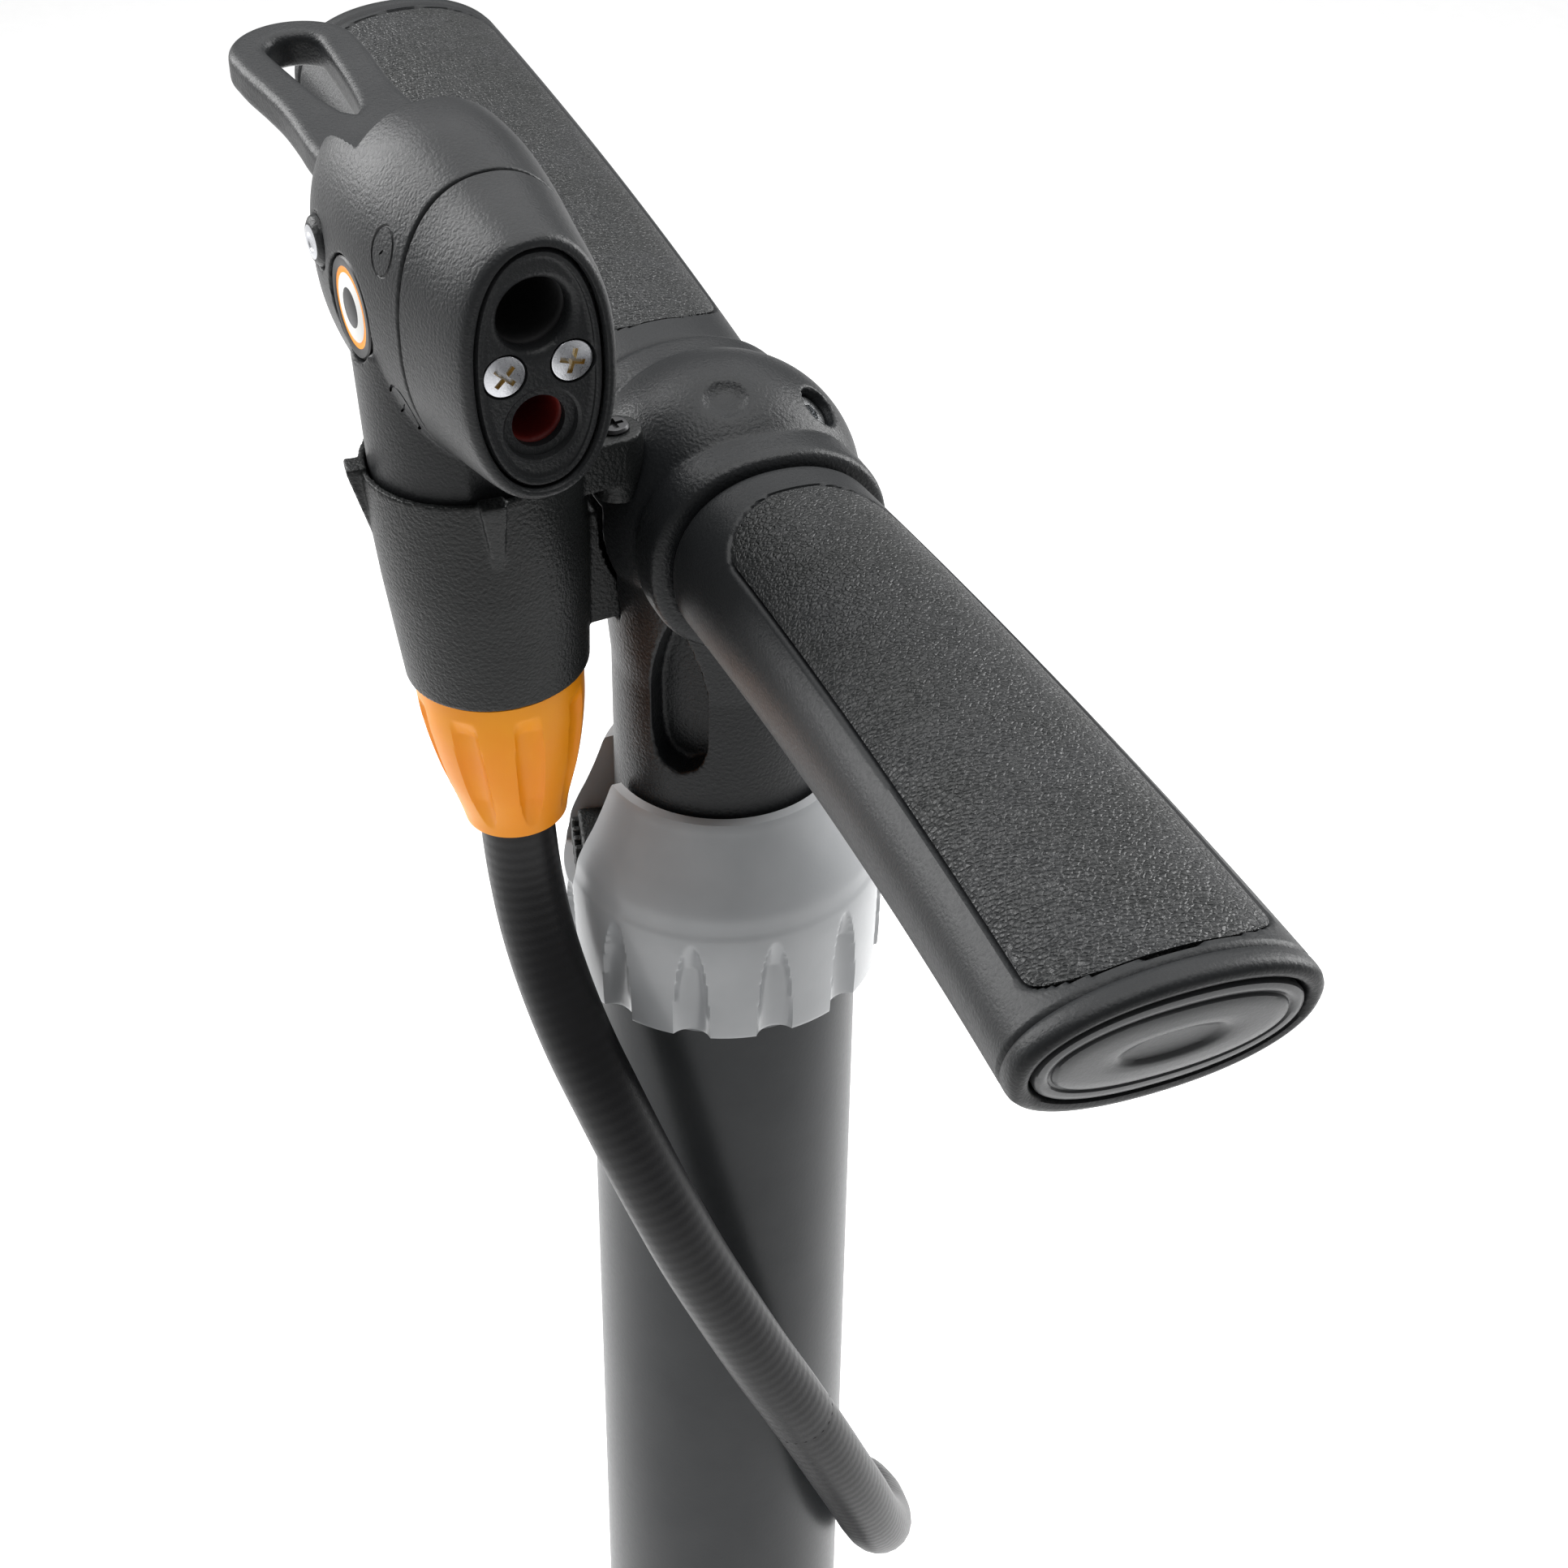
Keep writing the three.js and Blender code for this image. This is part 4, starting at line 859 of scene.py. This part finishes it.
def add_pad(where, side):
    """The grained panel: its top lies on the grip's skin and its underside a little below."""
    across = [math.sin(math.pi * k / 64) for k in range(-32, 33)]
    rings = []
    for i in range(PAD_ROWS + 1):
        t = mix(PAD_FROM + 0.0035, PAD_TO - 0.003, i / PAD_ROWS)
        half = max(0.05, pad_half(t) - 0.12)
        edge = min(i, PAD_ROWS - i)
        top, under = [], []
        for s in across:
            a = math.acos(min(1, (abs(s) * half / mix(*GRIP_W, t))) ** (1 / GRIP_SQUARENESS))
            a = a if s >= 0 else math.pi - a
            roll = 0.02 + 0.1 * step(0.97, 1.0, abs(s)) + 0.08 * (1 - step(0, 3, edge))
            top.append(grip_point(side, roll, t, a))
            under.append(grip_point(side, 1.5, t, a))
        rings.append(top + under[::-1])
    finish(skin(rings), f"grip_pad_{where}", GRIP_GRAIN, "handle", sharp=60)


# ---- holder cup ----
HOLDER_SCREW_XY = (4.6, 17)
AT_HOLDER_SCREW = Matrix.Translation((*HOLDER_SCREW_XY, 0))


def gusset(turn):
    """A wedge on the cup's side that narrows to a point below."""
    rows = [(0.6, CUP_TOP_R + 1.6, 1.6), (-0.2, CUP_TOP_R + 1.6, 1.6), (-12.6, CUP_TOP_R - 1.2, 0.25)]
    rings = [[(CUP_TOP_R - 2, -half, z), (out, -half, z), (out, half, z), (CUP_TOP_R - 2, half, z)]
             for z, out, half in rows]
    return moved(skin(rings), Matrix.Rotation(math.radians(turn), 4, "Z"))


def add_cup():
    waist_r = mix(CUP_BOTTOM_R, CUP_TOP_R, 0.6)
    wall = [(CUP_BOTTOM_R, -CUP_H), (waist_r, -CUP_H * 0.5), (CUP_TOP_R, 0)]
    outer = turned([(0, -CUP_H), *wall, (0, 0)], 128)
    lug_body = block(1.2, 8, CUP_TOP_R - 4, HOLDER_SCREW_XY[1], -6, 0.4, 0.4)
    lug_end = moved(dowel(3.4, -8.6, 0.4, 0.4), AT_HOLDER_SCREW)
    rail = block(-2.6, 2.6, CUP_BOTTOM_R - 1, 20.3, -28.6, -12, 0.3)
    cup = joined(outer, gusset(-8), gusset(-98), lug_body, lug_end, rail)
    inner = [
        (0, -CUP_H - 2), (11.4, -CUP_H - 2), (11.4, -CUP_H), (12.25, -CUP_H * 0.5), (13.1, 0), (13.1, 4),
        (0, 4),
    ]
    to_hub = PARKED.inverted() @ Matrix.Translation((0, 0, HANDLE_Z))
    hub_room = moved(ball(HUB_R + GAP, 0, 32, 64), to_hub)
    hole = moved(dowel(1.3, -13, 3), AT_HOLDER_SCREW)
    carved(cup, turned(inner, 128), hub_room, hole)
    moulded(cup, 0.26, 2)
    finish(cup, "holder_cup", CUP_BLACK, "handle", PARKED, sharp=60)


def add_holder_screw():
    screw = turned(softened([(0, -12.6), (1, -12.6), (1, 0.6), (2, 0.6), (1.7, 1.1), (0, 1.1)], 0.15), 48)
    carved(screw, phillips(1.2, 1.2, 0.7))
    moved(screw, AT_HOLDER_SCREW)
    finish(screw, "holder_screw", BLACK_STEEL, "handle", PARKED)


def phillips(reach, top, deep):
    """A cross-shaped cutter that points down from the given height."""
    bars = [block(-reach, reach, -0.32, 0.32, top - deep, top + 1, 0.02),
            block(-0.32, 0.32, -reach, reach, top - deep, top + 1, 0.02)]
    return joined(*bars)


# ---- pump head ----
FACE_FRONT = 25.05
FACE_SCREW_Y = (-4.1, 4.1)
SEAM_HALF = 0.15

# each row holds a place along the head, and there its middle's height, half its width and half its height
HEAD_ROWS = [
    (-24, FACE_MID - 1, 6, 9), (-22, FACE_MID - 0.8, 9.6, 14), (-17, FACE_MID - 0.6, 12, 18),
    (-8, FACE_MID - 0.3, 13, 20), (0, FACE_MID, 13, 20.2), (7, FACE_MID, 12.4, 19.4),
    (15, FACE_MID, 11.2, 18), (22.5, FACE_MID, 10, 17), (26, FACE_MID, 9.2, 16.4),
]


def head_ring(x, grow):
    """The head's outline across its length, grown outward by some millimetres."""
    middle, half_width, half_height = (track(HEAD_ROWS, x, column) for column in (1, 2, 3))
    return oval_ring(x, 0, middle, half_width + grow, half_height + grow, sides=144)


def head_run(rows):
    return skin([head_ring(x, grow) for x, grow in rows])


def neck_solid():
    lean = HEAD.inverted() @ PARKED
    profile = [(0, -31.3), (11.1, -31.3), (11.95, -CUP_H * 0.5), (12.8, 0), (12.8, 18), (8, 22), (0, 24)]
    return moved(turned(profile, 128), lean)


def along_x(obj, z=0.0, y=0.0):
    return moved(obj, Matrix.Translation((0, y, z)) @ Matrix.Rotation(math.pi / 2, 4, "Y"))


def facing_side(obj, x, z):
    return moved(obj, Matrix.Translation((x, 0, z)) @ Matrix.Rotation(math.pi / 2, 4, "X"))


def pictogram(x, z, w, h):
    """A thin oval groove with a slash, cut along the head's flank."""
    rings = []
    for k in range(40):
        a = 2 * math.pi * k / 40
        out = Vector((math.cos(a), 0, math.sin(a)))
        centre = Vector((x + w * math.cos(a), 0, z + h * math.sin(a)))
        centre.y = -flank(centre.x, centre.z)
        rings.append([centre + out * 0.22 * math.cos(b) + Vector((0, 0.22 * math.sin(b), 0))
                      for b in (math.pi * j / 4 for j in range(8))])
    side = -flank(x, z)
    slash = []
    for s in (-1, 0, 1):
        along, level = x + s * w * 1.3, z + s * h * 1.1
        slash.append([Vector((along, side + 0.2 * math.sin(b), level + 0.22 * math.cos(b)))
                      for b in (math.pi * j / 4 for j in range(8))])
    return skin(rings, looped=True), skin(slash)


def flank(x, z):
    """How far the head's side stands out at a place along it and a height."""
    w, h = track(HEAD_ROWS, x, 2), track(HEAD_ROWS, x, 3)
    k = min(1, abs(z - track(HEAD_ROWS, x, 1)) / h)
    return w * max(0.0, 1 - k ** (2 / 0.9)) ** 0.45


def add_head_body():
    run = [(-23.5 + 0.75 * k, 0) for k in range(48)]
    shell = head_run([(-24, -2), (-23.8, -0.8), *run, (PARTING_X + 1, 0)])
    body = joined(shell, neck_solid())
    ahead = block(PARTING_X - SEAM_HALF, 40, -30, 30, -60, 70, 0.01)
    slot = block(-40, PIVOT[0] + 6.8, -8.6, 8.6, PIVOT[1] - 8, 80, 0.4)
    room = block(PIVOT[0] + 2, PARTING_X, -7.4, 7.4, SMALL_Z - 5.4, LARGE_Z + 5.4, 0.1)
    rivet = facing_side(dowel(3.5, 11.4, 22), *PIVOT)
    pin = facing_side(dowel(PIN_BORE_R, -20, 20), *PIVOT)
    badge = facing_side(dowel(6.5, 11.4, 22), *BADGE_AT)
    barb = moved(dowel(4.5, -40, -24), HEAD.inverted() @ PARKED)
    carved(body, ahead, slot, room, rivet, pin, badge, barb)
    moulded(body, 0.3, 2)
    marks = [*pictogram(7.4, 32.4, 2.2, 2.9), *pictogram(8.2, 12.6, 2.2, 2.9)]
    carved(body, *marks)
    finish(body, "head_body", HEAD_DARK, "head", HEAD, sharp=50)


def add_snout():
    run = [(12.8 + 0.8 * k, 0) for k in range(15)]
    outside = [(PARTING_X + SEAM_HALF, -0.25), (PARTING_X + 0.35, 0), *run]
    rim = [
        (24.8, 0), (25.4, -0.08), (25.8, -0.3), (26, -0.7), (25.9, -1.1), (25.5, -1.4), (25, -1.5),
        (22.6, -1.5),
    ]
    snout = head_run(outside + rim)
    large = along_x(dowel(6, 10, 23.5), LARGE_Z)
    small = along_x(dowel(5.3, 10, 23.5), SMALL_Z)
    carved(snout, neck_solid(), large, small)
    finish(snout, "head_snout", HEAD_DARK, "head", HEAD, sharp=40)


def large_socket():
    """The cutter for the large valve's hole, with its mouth rounded."""
    profile = [
        (0, 0), (LARGE_R, 0), (LARGE_R, FACE_FRONT - 1.1), (LARGE_R + 0.15, FACE_FRONT - 0.6),
        (LARGE_R + 0.5, FACE_FRONT - 0.2), (LARGE_R + 1, FACE_FRONT), (LARGE_R + 1.2, 30), (0, 30),
    ]
    return along_x(turned(profile), LARGE_Z)


def small_socket():
    """The cutter for the small valve's hole, stepped wider at its mouth."""
    profile = [
        (0, 0), (SMALL_R, 0), (SMALL_R, FACE_FRONT - 1.2), (SMALL_R + 1.1, FACE_FRONT - 1.1),
        (SMALL_R + 1.25, FACE_FRONT - 0.3), (SMALL_R + 1.6, FACE_FRONT), (SMALL_R + 1.7, 30), (0, 30),
    ]
    return along_x(turned(profile), SMALL_Z)


def screw_seat(y):
    profile = [(0, 20), (1.5, 20), (1.5, FACE_FRONT - 1.5), (2.75, FACE_FRONT - 0.5), (2.85, 30), (0, 30)]
    return along_x(turned(profile), FACE_MID, y)


def add_face_plate():
    rows = [
        (22.75, -1.8), (25.3, -1.8), (25.55, -1.95), (25.6, -2.25), (25.5, -2.55), (25.2, -2.7),
        (FACE_FRONT, -3.0), (FACE_FRONT, -3.4),
    ]
    plate = head_run(rows)
    seats = [screw_seat(y) for y in FACE_SCREW_Y]
    carved(plate, large_socket(), small_socket(), *seats)
    finish(plate, "face_plate", HEAD_DARK, "head", HEAD, sharp=35)


def in_recess(face):
    """Whether a face of a face screw lies inside its cross recess."""
    centre = face.center
    near = math.hypot(centre.x, centre.y) < 1.6 and abs(centre.z - FACE_FRONT + 0.3) < 0.34
    return near and (abs(face.normal.z) < 0.5 or centre.z < FACE_FRONT - 0.3)


def add_face_screw(i, y):
    profile = [
        (0, FACE_FRONT - 8), (1.2, FACE_FRONT - 8), (1.2, FACE_FRONT - 1.6), (2.5, FACE_FRONT - 0.35),
        (2.5, FACE_FRONT - 0.1), (0, FACE_FRONT + 0.12),
    ]
    screw = carved(turned(softened(profile, 0.12), 64), phillips(1.55, FACE_FRONT + 0.1, 0.75))
    kinds = [int(in_recess(face)) for face in screw.data.polygons]
    moved(screw, Matrix.Rotation(math.radians(18 + 27 * i), 4, "Z"))
    along_x(screw, FACE_MID, y)
    finish(screw, f"face_screw_{i}", [SCREW_ZINC, SCREW_BRASS], "head", HEAD)
    paint(screw, kinds)


def add_gasket(name, outer, inner, z, look):
    finish(along_x(tube(outer, inner, 10.6, 22.3, 0.7), z), name, look, "head", HEAD)


def badge_kind(centre):
    """Which look a face of the badge has, by its distance from the middle."""
    orange, white, black = 0, 1, 2
    out = math.hypot(centre.x - BADGE_AT[0], centre.z - BADGE_AT[1])
    if out > 5.0:
        return black
    if out > 4.2:
        return orange
    return white if out > 2.4 and centre.y < -12.2 else black


def add_badge():
    """A plain disc: a thin orange line round a white ring, on black."""
    profile = [
        (0, 11.7), (6, 11.7), (6.2, 11.9), (6.2, 12.5), (6, 12.7), (5.1, 12.7), (4.95, 12.6), (4.2, 12.6),
        (4.1, 12.66), (2.45, 12.7), (2.35, 12.75), (0, 12.78),
    ]
    badge = facing_side(turned(profile, 96), *BADGE_AT)
    kinds = [badge_kind(face.center) for face in badge.data.polygons]
    finish(badge, "badge", [NUT_ORANGE, DIAL_WHITE, INK], "head", HEAD)
    paint(badge, kinds)


def add_rivet():
    """The lever's pin with its domed head: bright in the middle and dark round it."""
    profile = [
        (0, -12.4), (1.8, -12.4), (1.8, 11.8), (3, 11.8), (3.2, 12.1), (3.05, 12.8), (2.3, 13.3),
        (1.2, 13.42), (0.9, 13.2), (0, 13.1),
    ]
    pin = facing_side(turned(softened(profile, 0.2), 64), *PIVOT)
    centres = [face.center for face in pin.data.polygons]
    kinds = [int(math.hypot(at.x - PIVOT[0], at.z - PIVOT[1]) > 2) for at in centres]
    finish(pin, "lever_pin", [SCREW_ZINC, HEAD_DARK], "head", HEAD, sharp=50)
    paint(pin, kinds)


LEVER_END_X = -43
LEVER_END_R = 8.6
EYE_R = 3.6


def lever_round(radius, steps):
    """A half circle round the lever's end, without its two ends."""
    angles = [math.pi * (0.5 + k / steps) for k in range(1, steps)]
    return [(LEVER_END_X + radius * math.cos(a), radius * math.sin(a)) for a in angles]


def lever_outline():
    """The lever's edge from above: full at the pivot, waisted, and round at the end."""
    rows = [
        (LEVER_END_X, LEVER_END_R), (-38, 8.5), (-32, 8.0), (-26, 7.7), (-20, 7.9), (-14, 8.3), (2, 8.3),
    ]
    side = [(x, track(rows, x, 1)) for x in [2 - 0.75 * k for k in range(61)]]
    return side + lever_round(LEVER_END_R, 40) + [(x, -y) for x, y in reversed(side)]


def lever_eye():
    """The finger loop's opening: a point by the pivot that widens to a round end."""
    side = [(-20 - 23 * k / 24, EYE_R * (k / 24) ** 0.45) for k in range(25)]
    return side + lever_round(EYE_R, 24) + [(x, -y) for x, y in reversed(side[1:])]


def add_lever():
    blade = slab([lever_outline(), lever_eye()], 0.9, 5.9, 1.3)
    cam = facing_side(dowel(6.4, -8.3, 8.3, 0.4), 0, 0)
    bore = facing_side(dowel(PIN_BORE_R, -20, 20), 0, 0)
    lever = joined(blade, cam)
    carved(lever, bore)
    moulded(lever, 0.26, 3)
    moved(lever, Matrix.Translation((PIVOT[0], 0, PIVOT[1])))
    finish(lever, "clamp_lever", HEAD_DARK, "lever", HEAD, sharp=60)


NUT_TOP = -31.9
NUT_H = 24
NUT_TOP_R = 11.1


def nut_reach(r, z, a):
    """The nut's radius with its eight long flutes pressed in."""
    down = (NUT_TOP - z) / NUT_H
    if r < 6.4 or not 0.1 < down < 0.93:
        return r
    pitch = 2 * math.pi / 8
    off = abs((a + pitch / 2) % pitch - pitch / 2) * r
    half = 1.9 * (1 - abs((down - 0.38) / 0.56) ** 2.2) ** 0.5 if abs(down - 0.38) < 0.56 else 0
    if half <= 0 or off >= half:
        return r
    return r - 1.0 * (1 - (off / half) ** 2) ** 0.6 * min(1, (0.93 - down) * 5, (down - 0.1) * 9)


def add_nut():
    rows = [(0, NUT_TOP_R), (0.3, NUT_TOP_R - 0.5), (0.62, mix(NUT_TOP_R, 6.6, 0.42)), (0.9, 7.3), (1, 6.8)]
    outer = [(track(rows, k / 90, 1), NUT_TOP - NUT_H * k / 90) for k in range(91)]
    outer[0] = (NUT_TOP_R - 0.4, NUT_TOP)
    inner = [(5.3, NUT_TOP - NUT_H + 0.3), (5.3, NUT_TOP - 16), (4.5, NUT_TOP - 16), (4.5, NUT_TOP)]
    nut = turned(inner + outer, 320, looped=True, reach=nut_reach)
    finish(nut, "hose_nut", NUT_ORANGE, "head", PARKED, sharp=32)


# ---- foot and gauge ----
PAD_X = 106
PAD_Y = 58
DIAL_Z = -4.4


def foot_outline():
    back = [
        (0, 56), (20, 56.8), (38, 60), (54, 67.5), (66, 75), (80, 80.5), (102, 82), (120, 79.5), (131, 70),
        (136, 52), (136, 0),
    ]
    front = [
        (136, -52), (131, -70), (120, -79.5), (102, -82), (80, -80.8), (62, -77), (40, -72.5), (20, -70.6),
        (0, -70),
    ]
    right = softened(back + front, 9, steps=4)
    return right + [(-x, y) for x, y in reversed(right[1:-1])]


def tower_solid():
    profile = [(0, 8), (40, 8), (37, 15.6), (32, 19), (27.5, 30), (23.5, 63), (21.5, 66), (0, 66)]
    return turned(softened(profile, 3), 128)


def foot_treads():
    """Seven ribs across each wing, the middle one the longest."""
    treads = []
    for side in (-1, 1):
        for k in range(7):
            x = side * (62 + 10 * k)
            half = 52 - 1.05 * (k - 3) ** 2
            treads.append(block(x - 2, x + 2, -half, half, 13, 17.6, 1.2))
    return treads


def at_foot_pad(i, j):
    return Matrix.Translation((PAD_X * i, PAD_Y * j, 0))


def add_base():
    plate = slab([foot_outline()], 3, 16, 3.2)
    tower = tower_solid()
    treads = foot_treads()
    pedestal = block(-9, 9, -60, -42, 12, 36, 2)
    base = joined(plate, tower, pedestal, *treads)
    bore = dowel(BARREL_R + GAP, 23.4, 80)
    pockets = [moved(dowel(12.3, -2, 5.3), at_foot_pad(i, j)) for i in (-1, 1) for j in (-1, 1)]
    carved(base, bore, *pockets)
    moulded(base, 0.9, 2)
    finish(base, "base", CUP_BLACK, "pump_body", sharp=60)


def add_foot_pad(number, i, j):
    pad = moved(dowel(12, 0, 5, 0.8), at_foot_pad(i, j))
    finish(pad, f"foot_pad_{number}", RUBBER, "pump_body")


def dial_number(text, angle):
    curve = bpy.data.curves.new("number", "FONT")
    curve.body = text
    curve.size = 3.6
    curve.align_x = "CENTER"
    curve.align_y = "CENTER"
    curve.extrude = 0.03
    middle = Matrix.Translation((14.6 * math.cos(angle), 14.6 * math.sin(angle), -4.34))
    return moved(placed(meshed(curve)), middle)


def add_dial():
    """A white face with a tick every half and a number every two, from 0 to 12, over 270 degrees."""
    dial = turned([(1.4, -5.2), (23.7, -5.2), (23.7, DIAL_Z), (1.4, DIAL_Z)], 96, looped=True)
    white = len(dial.data.polygons)
    marks = []
    for k in range(25):
        a = math.radians(225 - 270 * k / 24)
        deep = 3.4 if k % 4 == 0 else 2.2 if k % 2 == 0 else 1.4
        tick = block(21.6 - deep, 21.6, -0.14, 0.14, DIAL_Z, -4.32, 0.01)
        marks.append(moved(tick, Matrix.Rotation(a, 4, "Z")))
        if k % 4 == 0:
            marks.append(dial_number(str(k // 2), a))
    gathered(dial, *marks)
    finish(dial, "gauge_dial", [DIAL_WHITE, INK], "pump_body", GAUGE)
    paint(dial, [int(face.index >= white) for face in dial.data.polygons])


def add_gauge_case():
    profile = [(0, -14), (24, -14), (26, -12), (26, 0), (24, 0), (24, -12), (0, -12)]
    case = turned(softened(profile, 0.8), 128)
    finish(case, "gauge_case", CUP_BLACK, "pump_body", GAUGE)


def add_gauge_bezel():
    profile = [(22.6, 0.3), (26.3, 0.3), (26.3, -5), (27.8, -5), (27.8, 0.6), (25.6, 2.4), (22.6, 1.4)]
    bezel = turned(softened(profile, 0.7, closed=True), 128, looped=True)
    finish(bezel, "gauge_bezel", COLLAR_GREY, "pump_body", GAUGE)


AT_PORT = Matrix.Translation((0, PORT_Y, 0))


def add_port():
    port = joined(slab([hexagon(7.5)], 16.3, 21.3, 0.5), dowel(4.6, 20, 30))
    finish(port, "hose_port", BRASS, "pump_body", AT_PORT)


def add_ferrule():
    profile = [
        (5.3, 21.6), (6.7, 21.6), (6.7, 24), (6.25, 24.6), (6.7, 25.2), (6.7, 28), (6.25, 28.6), (6.7, 29.2),
        (6.7, 36), (5.3, 36),
    ]
    ferrule = turned(softened(profile, 0.4, closed=True), 96, looped=True)
    finish(ferrule, "hose_ferrule", STEEL, "pump_body", AT_PORT)


# ---- CAD parts that stay, most of them out of sight ----
KEPT = {
    "foot_washer": RUBBER,
    "valve_seat": BRASS,
    "check_poppet": BRASS,
    "check_spring": STEEL,
    "gauge_lens": LENS,
    "gauge_needle": NEEDLE_RED,
    "gauge_movement": BRASS,
    "rod_nut": STEEL,
    "piston": WHITE,
    "piston_seal": RUBBER,
    "hose_barb": BRASS,
    "clamp_plunger": WHITE,
}


def dress_kept():
    for node, look in KEPT.items():
        for held in frame["nodes"][node].material_slots:
            held.material = look


add_camera()
add_hose()
add_studio()
add_barrel()
add_barrel_cap()
add_rod_bush()
add_piston_rod()
add_stop_bumper()
add_collar()
add_latch()
add_hub()
add_hub_screw()
for where, side in (("near", 1), ("far", -1)):
    add_grip(where, side)
    add_pad(where, side)
    add_end_cap(where, side)
add_cup()
add_holder_screw()
add_head_body()
add_snout()
add_face_plate()
for number, y in enumerate(FACE_SCREW_Y, 1):
    add_face_screw(number, y)
add_gasket("large_gasket", 5.7, LARGE_R - 0.15, LARGE_Z, RUBBER)
add_gasket("small_gasket", 5, SMALL_R - 0.15, SMALL_Z, GASKET_RED)
add_badge()
add_rivet()
add_lever()
add_nut()
add_base()
for number, (i, j) in enumerate(((1, 1), (-1, 1), (-1, -1), (1, -1)), 1):
    add_foot_pad(number, i, j)
add_gauge_case()
add_gauge_bezel()
add_dial()
add_port()
add_ferrule()
dress_kept()
